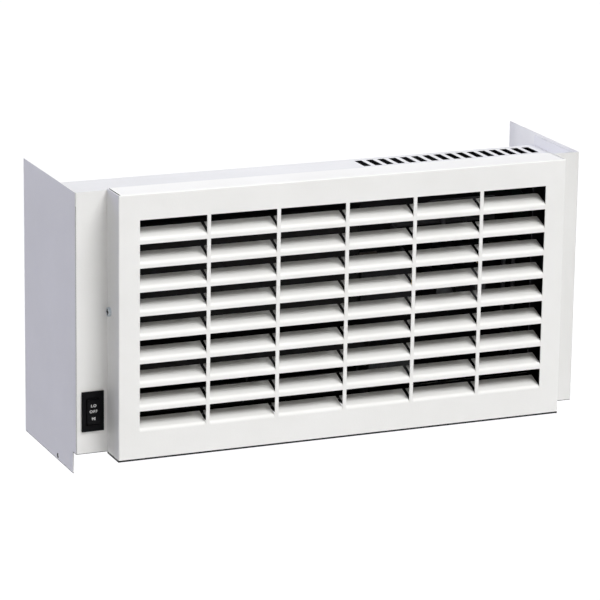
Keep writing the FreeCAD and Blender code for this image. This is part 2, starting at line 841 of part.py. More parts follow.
def front_cover():
    """Folded tray in front of the cabinet, with lanced flaps bent inwards as louvres."""
    name = "front_cover"
    half = "cover_width/2"
    body = tray(
        name, (f"-{half}", half), (COVER_BOTTOM, COVER_TOP), "panel_depth", "cover_depth",
        False, "cover_bend_radius + sheet_gauge", "sheet_gauge",
    )
    slit = sketch(body, f"{name}_slit_outline", "XZ_Plane", "panel_depth")
    for side in (-1, 1):
        near = f"({side})*({half} - sheet_gauge)"
        far = f"({side})*({half} - sheet_gauge - corner_slit)"
        rectangle(slit, (near, far), (f"{COVER_TOP} - sheet_gauge", COVER_TOP))
        rectangle(slit, (near, far), (COVER_BOTTOM, f"{COVER_BOTTOM} + sheet_gauge"))
    pocket(body, f"{name}_corner_slits", slit, "2*(cover_depth - 2*cover_bend_radius - sheet_gauge)")
    hole = sketch(body, f"{name}_screw_hole", "YZ_Plane")
    circle(hole, COVER_SCREW_Y, COVER_SCREW_Z, "screw_radius + screw_clearance")
    pocket(body, f"{name}_screw_drilling", hole, "cover_width + 2*sheet_gauge")
    louvres(body, name)


def louvres(body, name):
    """One lanced cell and its flap, repeated over columns and rows."""
    columns = "(louvre_columns - 1)"
    cell = f"((cover_width - 2*side_margin - {columns}*divider_width)/louvre_columns)"
    pitch = "((cover_height - top_margin - bottom_margin + web_height)/louvre_rows)"
    opening = f"({pitch} - web_height)"
    left = "(-cover_width/2 + side_margin)"
    high = f"({COVER_TOP} - top_margin)"
    low = f"({high} - {opening})"
    window = sketch(body, f"{name}_cell_outline", "XZ_Plane", f"-{COVER_FRONT}")
    rectangle(window, (left, f"{left} + {cell}"), (low, high))
    lanced = pocket(body, f"{name}_cell", window, "4*sheet_gauge")
    profile = flap_section(body, name, left, low, opening)
    flap = pad(body, f"{name}_flap", profile, cell)
    step = f"{cell} + divider_width"
    grid = repeat(body, f"{name}_grid", [lanced, flap], "X_Axis", step, "louvre_columns")
    grid.Direction2 = (plane(body, "Z_Axis"), [""])
    grid.Reversed2 = True
    grid.Mode2 = "Spacing"
    bind(grid, "Offset2", pitch)
    bind(grid, "Occurrences2", "louvre_rows")


def flap_section(body, name, left, low, opening):
    """The flap's side view: a bend at the bottom edge of its cell, then a straight blade."""
    turn = math.radians(value("louvre_turn"))
    centre_y = f"({COVER_FRONT} + sheet_gauge + louvre_bend_radius)"
    outer = "(louvre_bend_radius + sheet_gauge)"
    straight = f"({opening} - (louvre_bend_radius + sheet_gauge/2)*louvre_turn*pi/180)"
    centre = Vector(value(centre_y), value(low), 0)

    def spot(radius, angle, along):
        across = -radius * math.cos(angle) + along * math.sin(angle)
        up = radius * math.sin(angle) + along * math.cos(angle)
        return centre + Vector(across, up, 0)

    small, large, reach = value("louvre_bend_radius"), value(outer), value(straight)
    drawing = sketch(body, f"{name}_flap_section", "YZ_Plane", left)
    upward = Vector(0, 0, 1)
    drawing.addGeometry(Part.ArcOfCircle(Part.Circle(centre, upward, large), math.pi - turn, math.pi))
    drawing.addGeometry(Part.LineSegment(spot(large, turn, 0), spot(large, turn, reach)))
    drawing.addGeometry(Part.LineSegment(spot(large, turn, reach), spot(small, turn, reach)))
    drawing.addGeometry(Part.LineSegment(spot(small, turn, reach), spot(small, turn, 0)))
    drawing.addGeometry(Part.ArcOfCircle(Part.Circle(centre, upward, small), math.pi - turn, math.pi))
    drawing.addGeometry(Part.LineSegment(spot(small, 0, 0), spot(large, 0, 0)))
    hold(drawing, "Tangent", 0, 1, 1, 1)
    hold(drawing, "Coincident", 1, 2, 2, 1)
    hold(drawing, "Coincident", 2, 2, 3, 1)
    hold(drawing, "Tangent", 3, 2, 4, 1)
    hold(drawing, "Coincident", 4, 2, 5, 1)
    hold(drawing, "Coincident", 5, 2, 0, 2)
    hold(drawing, "Coincident", 0, 3, 4, 3)
    hold(drawing, "Horizontal", 0, 3, 0, 2)
    hold(drawing, "Horizontal", 5)
    hold(drawing, "Perpendicular", 1, 2)
    hold_point(drawing, 0, 3, centre_y, low)
    hold_size(drawing, outer, "Radius", 0, large)
    hold_size(drawing, "louvre_bend_radius", "Radius", 4, small)
    hold_size(drawing, straight, "Distance", 1, reach)
    hold_size(drawing, "90 - louvre_turn", "Angle", -1, 1, 1, 1, math.pi / 2 - turn, unit=" * 1 deg")
    return drawing


def cover_screws():
    items = []
    for side in (-1, 1):
        label = "left" if side < 0 else "right"
        face = f"({side})*cover_width/2"
        centre = (COVER_SCREW_Y, COVER_SCREW_Z)
        items.append(screw(f"cover_screw_{label}", "x", -side, centre, face, recess=True))
    compound("cover_screws", items)


# Rocker switch

def switch_body():
    """Bezel in front of the strip and housing behind it, hollowed for the paddle."""
    bezel = box(
        "switch_bezel",
        around(SWITCH_X, "bezel_width/2"),
        (f"{FRONT} - bezel_proud", FRONT),
        around(SWITCH_Z, "bezel_height/2"),
    )
    housing = box(
        "switch_housing",
        around(SWITCH_X, "switch_width/2"),
        (FRONT, SWITCH_BACK),
        around(SWITCH_Z, "switch_height/2"),
    )
    room = box(
        "switch_room",
        around(SWITCH_X, "paddle_width/2 + paddle_gap"),
        (f"{FRONT} - 2*bezel_proud", f"{PIVOT_Y} + rocker_room"),
        around(SWITCH_Z, "paddle_reach + paddle_gap"),
    )
    sockets = rod(
        "switch_sockets", "x", (PIVOT_Y, SWITCH_Z), "pivot_radius + running_gap",
        around(SWITCH_X, "paddle_width/2 + pivot_length + paddle_gap"),
    )
    cut("switch_body", fuse("switch_blank", [bezel, housing]), [room, sockets])


def rocker_paddle():
    """Dished paddle with round ends about its pivot, and two trunnions."""
    block = box(
        "paddle_block",
        around(SWITCH_X, "paddle_width/2"),
        (f"{FRONT} - paddle_proud", f"{PIVOT_Y} + paddle_tail"),
        around(SWITCH_Z, "paddle_reach"),
    )
    drum = rod("paddle_drum", "x", (PIVOT_Y, SWITCH_Z), "paddle_reach", around(SWITCH_X, "paddle_width"))
    dish = rod(
        "paddle_dish_cutter", "x",
        (f"{FRONT} - paddle_proud + paddle_dip - paddle_dish", SWITCH_Z),
        "paddle_dish", around(SWITCH_X, "paddle_width"),
    )
    trunnions = rod(
        "paddle_trunnions", "x", (PIVOT_Y, SWITCH_Z), "pivot_radius",
        around(SWITCH_X, "paddle_width/2 + pivot_length"),
    )
    dished = cut("paddle_dished", common("paddle_round", block, drum), [dish])
    fuse("rocker_paddle", [dished, trunnions])


def switch_terminals():
    items = []
    for index in (-1, 0, 1):
        items.append(box(
            f"switch_terminal_{index + 2}",
            around(SWITCH_X, "terminal_width/2"),
            (SWITCH_BACK, f"{SWITCH_BACK} + terminal_length"),
            around(f"{SWITCH_Z} + ({index})*terminal_pitch", "terminal_gauge/2"),
        ))
    compound("switch_terminals", items)


# Fan

def fan_wheel():
    """Cross-flow wheel: two hubbed end discs, a middle ring and a cage of leaning blades."""
    name = "fan_wheel"
    body = doc.addObject("PartDesign::Body", name)
    bind(body, "Placement.Base.y", FAN_Y)
    bind(body, "Placement.Base.z", FAN_Z)
    bore = "shaft_radius + running_gap"
    rings = [
        ("left_disc", WHEEL_LEFT, "wheel_disc", "wheel_radius", bore),
        ("left_hub", f"{WHEEL_LEFT} + wheel_disc", "hub_length", "hub_radius", bore),
    ]
    far_rings = [
        ("right_disc", f"{WHEEL_RIGHT} - wheel_disc", "wheel_disc", "wheel_radius", bore),
        ("right_hub", f"{WHEEL_RIGHT} - wheel_disc - hub_length", "hub_length", "hub_radius", bore),
        ("middle_ring", f"({WHEEL_LEFT} + {WHEEL_RIGHT} - wheel_disc)/2", "wheel_disc",
         "wheel_radius", "wheel_radius - blade_chord - ring_lap"),
    ]
    for ring in rings:
        wheel_ring(body, name, *ring)
    blade = sketch(body, f"{name}_blade_outline", "YZ_Plane", f"{WHEEL_LEFT} + wheel_disc/2")
    root = "(wheel_radius - blade_chord)"
    tip = "(wheel_radius - blade_gauge)"
    polygon(blade, [
        (root, "0"),
        (tip, "blade_lean"),
        (tip, "blade_lean + blade_gauge"),
        (root, "blade_gauge"),
    ])
    first = pad(body, f"{name}_blade", blade, f"{WHEEL_RIGHT} - {WHEEL_LEFT} - wheel_disc")
    cage = body.newObject("PartDesign::PolarPattern", f"{name}_blades")
    cage.Originals = [first]
    cage.Axis = (plane(body, "X_Axis"), [""])
    cage.Angle = 360
    bind(cage, "Occurrences", "blade_count")
    body.Tip = cage
    doc.recompute()
    for ring in far_rings:
        wheel_ring(body, name, *ring)


def wheel_ring(body, name, label, start, length, outer, inner):
    ring = sketch(body, f"{name}_{label}_outline", "YZ_Plane", start)
    circle(ring, "0", "0", outer)
    circle(ring, "0", "0", inner)
    pad(body, f"{name}_{label}", ring, length)


def fan_shaft():
    rod(
        "fan_shaft", "x", (FAN_Y, FAN_Z), "shaft_radius",
        (f"{BAY_LEFT} - shaft_overhang", f"{MOTOR_BACK} - shaft_overhang"),
    )


def fan_scroll():
    """Rear wall of the fan: an arc about the wheel, then a straight run upwards."""
    length = (f"{BAY_LEFT} + plate_gauge", f"{BAY_RIGHT} - plate_gauge")
    arcs = []
    for label, radius in (("outside", FAN_REACH), ("inside", SCROLL_IN)):
        arc = rod(f"scroll_{label}", "x", (FAN_Y, FAN_Z), radius, length)
        start = Rotation(Vector(1, 0, 0), -value("scroll_start"))
        arc.Placement.Rotation = start.multiply(AXIS_TURN["x"])
        bind(arc, "Angle", "scroll_wrap")
        arcs.append(arc)
    wall = box(
        "scroll_wall", length,
        (f"{FAN_Y} + {SCROLL_IN}", f"{FAN_Y} + {FAN_REACH}"),
        (FAN_Z, PLATE_TOP),
    )
    fuse("fan_scroll", [cut("scroll_arc", arcs[0], [arcs[1]]), wall])


def fan_tongue():
    box(
        "fan_tongue",
        (f"{BAY_LEFT} + plate_gauge", f"{BAY_RIGHT} - plate_gauge"),
        (f"{FAN_Y} - {FAN_REACH}", f"{FAN_Y} - {SCROLL_IN}"),
        (f"{PLATE_TOP} - tongue_height", PLATE_TOP),
    )


def end_plate(name, side):
    """Upright plate at an end of the fan, with a foot on the floor and a hole for the shaft."""
    face = BAY_LEFT if side < 0 else BAY_RIGHT
    thick = (face, f"{face} + plate_gauge") if side < 0 else (f"{face} - plate_gauge", face)
    foot = (f"{face} - foot_length", face) if side < 0 else (face, f"{face} + foot_length")
    wall = box(f"{name}_wall", thick, (PLATE_FRONT, REAR_FRONT), (FLOOR, PLATE_TOP))
    base = box(f"{name}_foot", foot, (PLATE_FRONT, REAR_FRONT), (FLOOR, f"{FLOOR} + plate_gauge"))
    hole_radius = "bush_radius + plug_gap" if side < 0 else "motor_boss + plug_gap"
    through = around(face, "2*plate_gauge")
    holes = [rod(f"{name}_hole", "x", (FAN_Y, FAN_Z), hole_radius, through)]
    pilot = "screw_radius + running_gap"
    if side > 0:
        for index, spot in enumerate(motor_spots()):
            holes.append(rod(f"{name}_motor_hole_{index}", "x", spot, pilot, through))
    for index, spot in enumerate(foot_spots(side)):
        upright = (f"{FLOOR} - plate_gauge", f"{FLOOR} + 2*plate_gauge")
        holes.append(rod(f"{name}_foot_hole_{index}", "z", spot, pilot, upright))
    cut(name, fuse(f"{name}_blank", [wall, base]), holes)


def foot_spots(side):
    across = f"({BAY_LEFT} - foot_length/2)" if side < 0 else f"({BAY_RIGHT} + foot_length/2)"
    return [(across, f"({PLATE_FRONT} + plate_margin)"), (across, f"({REAR_FRONT} - plate_margin)")]


def foot_screws():
    items = []
    for side in (-1, 1):
        for index, spot in enumerate(foot_spots(side)):
            name = f"foot_screw_{side + 2}_{index}"
            items.append(screw(name, "z", -1, spot, f"{FLOOR} + plate_gauge", "foot_screw_length"))
    compound("foot_screws", items)


def motor_spots():
    reach = "motor_bolt_circle*sqrt(0.5)"
    return [
        (f"({FAN_Y} + ({across})*{reach})", f"({FAN_Z} + ({up})*{reach})")
        for across in (-1, 1)
        for up in (-1, 1)
    ]


def fan_motor():
    can = rod("motor_can", "x", (FAN_Y, FAN_Z), "motor_radius", (MOTOR_FACE, MOTOR_BACK))
    nose = (f"{BAY_RIGHT} - plate_gauge", MOTOR_FACE)
    boss = rod("motor_nose", "x", (FAN_Y, FAN_Z), "motor_boss", nose)
    bore = rod(
        "motor_bore", "x", (FAN_Y, FAN_Z), "shaft_radius + running_gap",
        (f"{BAY_RIGHT} - 2*plate_gauge", f"{MOTOR_BACK} - shaft_overhang + fit_gap"),
    )
    holes = [bore]
    for index, spot in enumerate(motor_spots()):
        depth = (f"{MOTOR_FACE} - fit_gap", f"{MOTOR_FACE} + screw_length")
        holes.append(rod(f"motor_thread_{index}", "x", spot, "screw_radius + running_gap", depth))
    cut("fan_motor", fuse("motor_blank", [can, boss]), holes)


def motor_bushes():
    """Soft spacers between the motor and its plate."""
    span = (BAY_RIGHT, MOTOR_FACE)
    bore = "screw_radius + running_gap"
    items = []
    for index, spot in enumerate(motor_spots()):
        items.append(tube(f"motor_bush_{index}", "x", spot, "motor_bush_radius", bore, span))
    compound("motor_bushes", items)


def motor_screws():
    face = f"({BAY_RIGHT} - plate_gauge)"
    length = "(screw_length + motor_bush_length)"
    items = []
    for index, spot in enumerate(motor_spots()):
        items.append(screw(f"motor_screw_{index}", "x", 1, spot, face, length))
    compound("motor_screws", items)


def shaft_bush():
    """Plain bearing at the wheel's free end: a sleeve through the plate with a flange outside it."""
    sleeve = tube(
        "bush_sleeve", "x", (FAN_Y, FAN_Z), "bush_radius", "shaft_radius + running_gap",
        (f"{BAY_LEFT} - bush_flange", f"{BAY_LEFT} + plate_gauge + bush_inside"),
    )
    flange = tube(
        "bush_collar", "x", (FAN_Y, FAN_Z), "bush_radius + bush_flange", "shaft_radius + running_gap",
        (f"{BAY_LEFT} - bush_flange", BAY_LEFT),
    )
    fuse("shaft_bush", [sleeve, flange])


# Combustion chamber

def chamber_shell(name, side):
    """One pressed half of the heat exchanger, with a seam flange round its mouth."""
    offset = f"-{FAN_Y}"
    across = (CHAMBER_LEFT, CHAMBER_RIGHT)
    up = (CHAMBER_BOTTOM, CHAMBER_TOP)
    body = tray(name, across, up, offset, "chamber_half_depth", side > 0, "chamber_round", "chamber_gauge")
    seam = sketch(body, f"{name}_seam_outline", "XZ_Plane", offset)
    rectangle(
        seam,
        (f"{CHAMBER_LEFT} - seam_width", f"{CHAMBER_RIGHT} + seam_width"),
        (f"{CHAMBER_BOTTOM} - seam_width", f"{CHAMBER_TOP} + seam_width"),
    )
    rectangle(
        seam,
        (f"{CHAMBER_LEFT} + chamber_gauge", f"{CHAMBER_RIGHT} - chamber_gauge"),
        (f"{CHAMBER_BOTTOM} + chamber_gauge", f"{CHAMBER_TOP} - chamber_gauge"),
    )
    pad(body, f"{name}_seam", seam, "chamber_gauge", side > 0)
    if side < 0:
        port_centres = [BURNER_Z, f"{BURNER_Z} + spark_rise", f"{BURNER_Z} + sensor_rise"]
        radii = ["burner_radius", "insulator_radius", "insulator_radius"]
        ports = sketch(body, f"{name}_ports", "YZ_Plane", CHAMBER_RIGHT)
        for height, radius in zip(port_centres, radii):
            circle(ports, BURNER_Y, height, f"{radius} + plug_gap")
        pocket(body, f"{name}_port_cut", ports, "4*chamber_gauge")
    else:
        flue = sketch(body, f"{name}_flue_outline", "XZ_Plane", f"-{CHAMBER_BACK}")
        circle(flue, FLUE_X, FLUE_Z, f"{FLUE_STEM} - pipe_wall")
        pocket(body, f"{name}_flue_cut", flue, "4*chamber_gauge")


def chamber_brackets():
    """Four shelves from the rear panel that hold the chamber by its seam."""
    low = (f"{CHAMBER_BOTTOM} - seam_width - plate_gauge", f"{CHAMBER_BOTTOM} - seam_width")
    high = (f"{CHAMBER_TOP} + seam_width", f"{CHAMBER_TOP} + seam_width + plate_gauge")
    left = f"({CHAMBER_LEFT} + chamber_bracket_inset)"
    right = f"({CHAMBER_RIGHT} - chamber_bracket_inset)"
    items = []
    for column, centre in enumerate((left, right)):
        for row, height in enumerate((low, high)):
            items.append(box(
                f"chamber_bracket_{column}_{row}",
                around(centre, "chamber_bracket_width/2"),
                (f"{FAN_Y} - chamber_gauge", REAR_FRONT),
                height,
            ))
    compound("chamber_brackets", items)


def vent_pipe(name, centre, start, stem, spigot):
    """Pipe out through the back: a stem to the gasket, then a wider spigot for the vent kit."""
    inside = rod(f"{name}_stem", "y", centre, stem, (start, PIPE_SHOULDER))
    outside = rod(f"{name}_spigot", "y", centre, spigot, (PIPE_SHOULDER, PIPE_END))
    bore = rod(f"{name}_bore", "y", centre, f"{stem} - pipe_wall", (start, PIPE_END))
    cut(name, fuse(f"{name}_blank", [inside, outside]), [bore])


def vent_gaskets():
    span = (REAR_BACK, PIPE_SHOULDER)
    items = []
    for name, centre, radius in (
        ("flue_gasket", (FLUE_X, FLUE_Z), FLUE_STEM),
        ("air_gasket", (AIR_PIPE_X, BURNER_Z), AIR_STEM),
    ):
        items.append(tube(name, "y", centre, f"{radius} + vent_gasket_width", f"{radius} + plug_gap", span))
    compound("vent_gaskets", items)


# Burner

def burner_tube():
    """Tube burner with a row of ports along its top, closed at its far end."""
    centre = (BURNER_Y, BURNER_Z)
    left = f"({CHAMBER_LEFT} + burner_inset)"
    mouth = f"({AIR_BOX_LEFT} + burner_mouth)"
    outside = rod("burner_outside", "x", centre, "burner_radius", (left, mouth))
    hollow = (f"{left} + burner_wall", f"{mouth} + burner_wall")
    tools = [rod("burner_bore", "x", centre, "burner_radius - burner_wall", hollow)]
    for index in range(int(value("port_count"))):
        across = f"({left} + ({index} + 1)*port_pitch)"
        tools.append(box(
            f"burner_port_{index}",
            around(across, "port_width/2"),
            around(BURNER_Y, "burner_radius/2"),
            (f"{BURNER_Z} + burner_radius - port_depth", f"{BURNER_Z} + 2*burner_radius"),
        ))
    cut("burner_tube", outside, tools)


def burner_mount():
    """Gasket and plate that close the chamber round the burner and carry the air box."""
    for name, span in (
        ("burner_gasket", (CHAMBER_RIGHT, BURNER_PLATE)),
        ("burner_plate", (BURNER_PLATE, AIR_BOX_LEFT)),
    ):
        across = around(BURNER_Y, "air_box_half_depth")
        blank = box(f"{name}_blank", span, across, around(BURNER_Z, "air_box_half_height"))
        hole = rod(f"{name}_hole", "x", (BURNER_Y, BURNER_Z), "burner_radius + plug_gap",
                   (f"{span[0]} - plate_gauge", f"{span[1]} + plate_gauge"))
        cut(name, blank, [hole])


def air_box():
    """Sealed box of combustion air round the burner's mouth, open towards the burner plate."""
    wall = "sheet_gauge"
    outside = box(
        "air_box_outside",
        (AIR_BOX_LEFT, AIR_BOX_RIGHT),
        around(BURNER_Y, "air_box_half_depth"),
        around(BURNER_Z, "air_box_half_height"),
    )
    inside = box(
        "air_box_inside",
        (f"{AIR_BOX_LEFT} - {wall}", f"{AIR_BOX_RIGHT} - {wall}"),
        around(BURNER_Y, f"air_box_half_depth - {wall}"),
        around(BURNER_Z, f"air_box_half_height - {wall}"),
    )
    pipe = rod("air_box_pipe_hole", "y", (AIR_PIPE_X, BURNER_Z), f"{AIR_STEM} - pipe_wall",
               (f"{AIR_BOX_BACK} - 2*{wall}", f"{AIR_BOX_BACK} + {wall}"))
    orifice = rod("air_box_orifice_hole", "x", (BURNER_Y, BURNER_Z), "orifice_radius + plug_gap",
                  (f"{AIR_BOX_RIGHT} - 2*{wall}", f"{AIR_BOX_RIGHT} + {wall}"))
    cut("air_box", outside, [inside, pipe, orifice])


def gas_orifice():
    """Brass jet that passes through the air box and points into the burner's mouth."""
    centre = (BURNER_Y, BURNER_Z)
    tail = f"({AIR_BOX_RIGHT} + orifice_tail)"
    face = f"({tail} - orifice_length)"
    stem = rod("orifice_stem", "x", centre, "orifice_radius", (face, tail))
    tip_span = (f"{face} - orifice_tip_length", face)
    tip = rod("orifice_tip_rod", "x", centre, "orifice_tip", tip_span)
    through = (f"{face} - 2*orifice_tip_length", f"{tail} + plate_gauge")
    bore = rod("orifice_drilling", "x", centre, "orifice_bore", through)
    cut("gas_orifice", fuse("orifice_blank", [stem, tip]), [bore])


def electrodes():
    """Ceramic insulators through the chamber's end wall, each with a metal rod."""
    for name, height in (("spark", SPARK_Z), ("sensor", SENSOR_Z)):
        centre = (BURNER_Y, height)
        start = f"({CHAMBER_RIGHT} - insulator_inside)"
        end = f"({start} + insulator_length)"
        bore = "electrode_radius + running_gap"
        tube(f"{name}_insulator", "x", centre, "insulator_radius", bore, (start, end))
        rod(f"{name}_rod", "x", centre, "electrode_radius", (f"{start} - electrode_reach", end))


def limit_switch():
    across = f"(({CHAMBER_LEFT} + {CHAMBER_RIGHT})/2)"
    can = (CHAMBER_TOP, f"{CHAMBER_TOP} + limit_height")
    base = rod("limit_base", "z", (across, BURNER_Y), "limit_radius", can)
    ear = box(
        "limit_ears",
        around(across, "2*limit_radius"),
        around(BURNER_Y, "limit_radius/2"),
        (CHAMBER_TOP, f"{CHAMBER_TOP} + chamber_gauge"),
    )
    fuse("limit_switch", [base, ear])


# Gas train

def gas_valve():
    """Valve block with an outlet towards the burner, an inlet on its right and a cock in front."""
    block = box(
        "valve_block",
        (VALVE_LEFT, VALVE_RIGHT),
        (VALVE_FRONT, VALVE_BACK),
        (VALVE_BOTTOM, VALVE_TOP),
    )
    outlet = rod("valve_outlet", "x", (BURNER_Y, BURNER_Z), "gas_pipe_bore",
                 (f"{VALVE_LEFT} - fit_gap", f"{VALVE_LEFT} + valve_length/4"))
    inlet = rod("valve_inlet", "x", (BURNER_Y, VALVE_Z), "gas_pipe_bore",
                (f"{VALVE_RIGHT} - valve_length/4", f"{VALVE_RIGHT} + fit_gap"))
    stem = rod("valve_stem_bore", "y", (VALVE_X, VALVE_Z), "cock_stem_radius + running_gap",
               (f"{VALVE_FRONT} - fit_gap", f"{VALVE_FRONT} + cock_stem_length + fit_gap"))
    cut("gas_valve", block, [outlet, inlet, stem])


def valve_coils():
    for name, side in (("low_coil", -1), ("high_coil", 1)):
        across = f"({VALVE_X} + ({side})*coil_pitch/2)"
        can = rod(f"{name}_can", "z", (across, BURNER_Y), "coil_radius", (VALVE_TOP, COIL_TOP))
        blades = box(
            f"{name}_blades",
            around(across, "terminal_width/2"),
            around(BURNER_Y, "terminal_gauge/2"),
            (COIL_TOP, f"{COIL_TOP} + terminal_length"),
        )
        fuse(name, [can, blades])


def gas_cock():
    """Quarter-turn knob on the front of the valve, with its stem."""
    disc_back = f"({VALVE_FRONT} - cock_gap)"
    disc_front = f"({disc_back} - cock_height)"
    centre = (VALVE_X, VALVE_Z)
    disc = rod("cock_disc", "y", centre, "cock_radius", (disc_front, disc_back))
    stem_span = (disc_back, f"{VALVE_FRONT} + cock_stem_length")
    stem = rod("cock_stem", "y", centre, "cock_stem_radius", stem_span)
    bar = box(
        "cock_bar",
        around(VALVE_X, "cock_radius"),
        (f"{disc_front} - cock_bar_height", disc_front),
        around(VALVE_Z, "cock_bar_width/2"),
    )
    fuse("gas_cock_knob", [disc, stem, bar])


def manifold_pipe():
    tube(
        "manifold_pipe", "x", (BURNER_Y, BURNER_Z), "gas_pipe_radius", "gas_pipe_bore",
        (f"{AIR_BOX_RIGHT} + orifice_tail", VALVE_LEFT),
    )


def supply_pipe():
    """Pipe from the valve's side, round one bend, to the inlet fitting at the back."""
    body = doc.addObject("PartDesign::Body", "supply_pipe")
    path = sketch(body, "supply_path", "XY_Plane", VALVE_Z)
    turn_x = f"({VALVE_RIGHT} + supply_run)"
    turn_y = f"({BURNER_Y} + supply_bend)"
    start = Vector(value(VALVE_RIGHT), value(BURNER_Y), 0)
    bend_start = Vector(value(turn_x), value(BURNER_Y), 0)
    bend_end = Vector(value(INLET_X), value(turn_y), 0)
    end = Vector(value(INLET_X), value(FITTING_FRONT), 0)
    bend_centre = Vector(value(turn_x), value(turn_y), 0)
    bend_circle = Part.Circle(bend_centre, Vector(0, 0, 1), value("supply_bend"))
    path.addGeometry(Part.LineSegment(start, bend_start))
    path.addGeometry(Part.ArcOfCircle(bend_circle, -math.pi / 2, 0))
    path.addGeometry(Part.LineSegment(bend_end, end))
    hold(path, "Tangent", 0, 2, 1, 1)
    hold(path, "Tangent", 1, 2, 2, 1)
    hold_point(path, 0, 1, VALVE_RIGHT, BURNER_Y)
    hold_point(path, 1, 3, turn_x, turn_y)
    hold_point(path, 2, 2, INLET_X, FITTING_FRONT)
    hold(path, "Horizontal", 0)
    section = sketch(body, "supply_section", "YZ_Plane", VALVE_RIGHT)
    circle(section, BURNER_Y, VALVE_Z, "gas_pipe_radius")
    circle(section, BURNER_Y, VALVE_Z, "gas_pipe_bore")
    sweep = body.newObject("PartDesign::AdditivePipe", "supply_sweep")
    sweep.Profile = section
    sweep.Spine = path
    doc.recompute()


def inlet_fitting():
    """Bulkhead fitting through the rear panel, with a nut inside and a flare thread outside."""
    centre = (INLET_X, VALVE_Z)
    inside = (FITTING_FRONT, REAR_FRONT)
    outside = (REAR_BACK, FITTING_BACK)
    inner_nut = hexagon("fitting_inner_nut", "y", centre, "fitting_radius", inside)
    outer_nut = hexagon("fitting_outer_nut", "y", centre, "fitting_radius", outside)
    end = f"({FITTING_BACK} + flare_length)"
    thread = rod("fitting_thread", "y", centre, "flare_radius", (REAR_FRONT, end))
    through = (f"{FITTING_FRONT} - fit_gap", f"{end} + fit_gap")
    bore = rod("fitting_bore", "y", centre, "gas_pipe_bore", through)
    cut("inlet_fitting", fuse("fitting_blank", [inner_nut, thread, outer_nut]), [bore])


def valve_bracket():
    """Shelf under the valve with a flange against the rear panel."""
    shelf = box(
        "bracket_shelf",
        (VALVE_LEFT, VALVE_RIGHT),
        (VALVE_FRONT, REAR_FRONT),
        (f"{VALVE_BOTTOM} - plate_gauge", VALVE_BOTTOM),
    )
    flange = box(
        "bracket_flange",
        (VALVE_LEFT, VALVE_RIGHT),
        (f"{REAR_FRONT} - plate_gauge", REAR_FRONT),
        (f"{VALVE_BOTTOM} - shelf_drop", VALVE_BOTTOM),
    )
    fuse("valve_bracket", [shelf, flange])


# Control board

def control_board():
    blank = box(
        "board_blank",
        (BOARD_LEFT, BOARD_RIGHT),
        (BOARD_FRONT, BOARD_BACK),
        (BOARD_BOTTOM, BOARD_TOP),
    )
    through = (f"{BOARD_FRONT} - fit_gap", f"{BOARD_BACK} + fit_gap")
    holes = []
    for index, spot in enumerate(board_spots()):
        holes.append(rod(f"board_hole_{index}", "y", spot, "screw_radius + screw_clearance", through))
    cut("control_board", blank, holes)


def board_spots():
    return [
        (across, up)
        for across in (f"({BOARD_LEFT} + standoff_inset)", f"({BOARD_RIGHT} - standoff_inset)")
        for up in (f"({BOARD_BOTTOM} + standoff_inset)", f"({BOARD_TOP} - standoff_inset)")
    ]


def board_standoffs():
    bore = "screw_radius + running_gap"
    span = (BOARD_BACK, REAR_FRONT)
    items = []
    for index, spot in enumerate(board_spots()):
        items.append(tube(f"board_standoff_{index}", "y", spot, "standoff_radius", bore, span))
    compound("board_standoffs", items)


def board_screws():
    items = []
    for index, spot in enumerate(board_spots()):
        items.append(screw(f"board_screw_{index}", "y", 1, spot, BOARD_FRONT))
    compound("board_screws", items)


def board_relays():
    items = []
    for index, height in enumerate(RELAY_Z):
        items.append(box(
            f"board_relay_{index}",
            around(RELAY_X, "relay_width/2"),
            (f"{BOARD_FRONT} - relay_depth", BOARD_FRONT),
            around(height, "relay_height/2"),
        ))
    compound("board_relays", items)


def board_plug():
    box(
        "board_plug",
        around(PLUG_X, "plug_width/2"),
        (f"{BOARD_FRONT} - plug_depth", BOARD_FRONT),
        (PLUG_UNDER, f"{PLUG_UNDER} + plug_height"),
    )


# Leads inside the cabinet, each a round wire along straight runs and bends

def lead(name, corners):
    spots = [Vector(*(value(text) for text in corner)) for corner in corners]
    bend = value("lead_bend")
    edges = []
    begin = spots[0]
    for before, corner, after in zip(spots, spots[1:], spots[2:]):
        into = (corner - before).normalize()
        out = (after - corner).normalize()
        start = corner - into * bend
        end = corner + out * bend
        centre = corner + (out - into) * bend
        middle = centre + (corner - centre).normalize() * bend
        edges.append(Part.LineSegment(begin, start).toShape())
        edges.append(Part.Arc(start, middle, end).toShape())
        begin = end
    edges.append(Part.LineSegment(begin, spots[-1]).toShape())
    path = Part.Wire(edges)
    section = Part.Wire(Part.Circle(spots[0], spots[1] - spots[0], value("lead_radius")).toShape())
    item = doc.addObject("Part::Feature", name)
    item.Shape = path.makePipeShell([section], True, True)
    item.Placement = Placement()
    length = math.pi * value("lead_radius") ** 2 * path.Length
    if abs(item.Shape.Volume / length - 1) > VOLUME_TOLERANCE:
        raise RuntimeError(f"{name} has the wrong volume")
    return item


def switch_lead():
    front = f"({STRIP_BACK} + sheet_gauge + lead_front_gap)"
    floor = f"({FLOOR} + lead_floor_gap)"
    terminal = f"({SWITCH_BACK} + terminal_length)"
    back = f"({terminal} + lead_stub)"
    pin = f"({PLUG_X} + plug_pin_pitch)"
    lead("switch_lead", [
        (SWITCH_X, terminal, SWITCH_Z),
        (SWITCH_X, back, SWITCH_Z),
        (SWITCH_X, back, floor),
        (SWITCH_X, front, floor),
        (pin, front, floor),
        (pin, PLUG_Y, floor),
        (pin, PLUG_Y, PLUG_UNDER),
    ])


def motor_lead():
    height = f"({FAN_Z} + motor_radius/2)"
    lead("motor_lead", [
        (MOTOR_BACK, FAN_Y, height),
        (PLUG_X, FAN_Y, height),
        (PLUG_X, PLUG_Y, height),
        (PLUG_X, PLUG_Y, PLUG_UNDER),
    ])


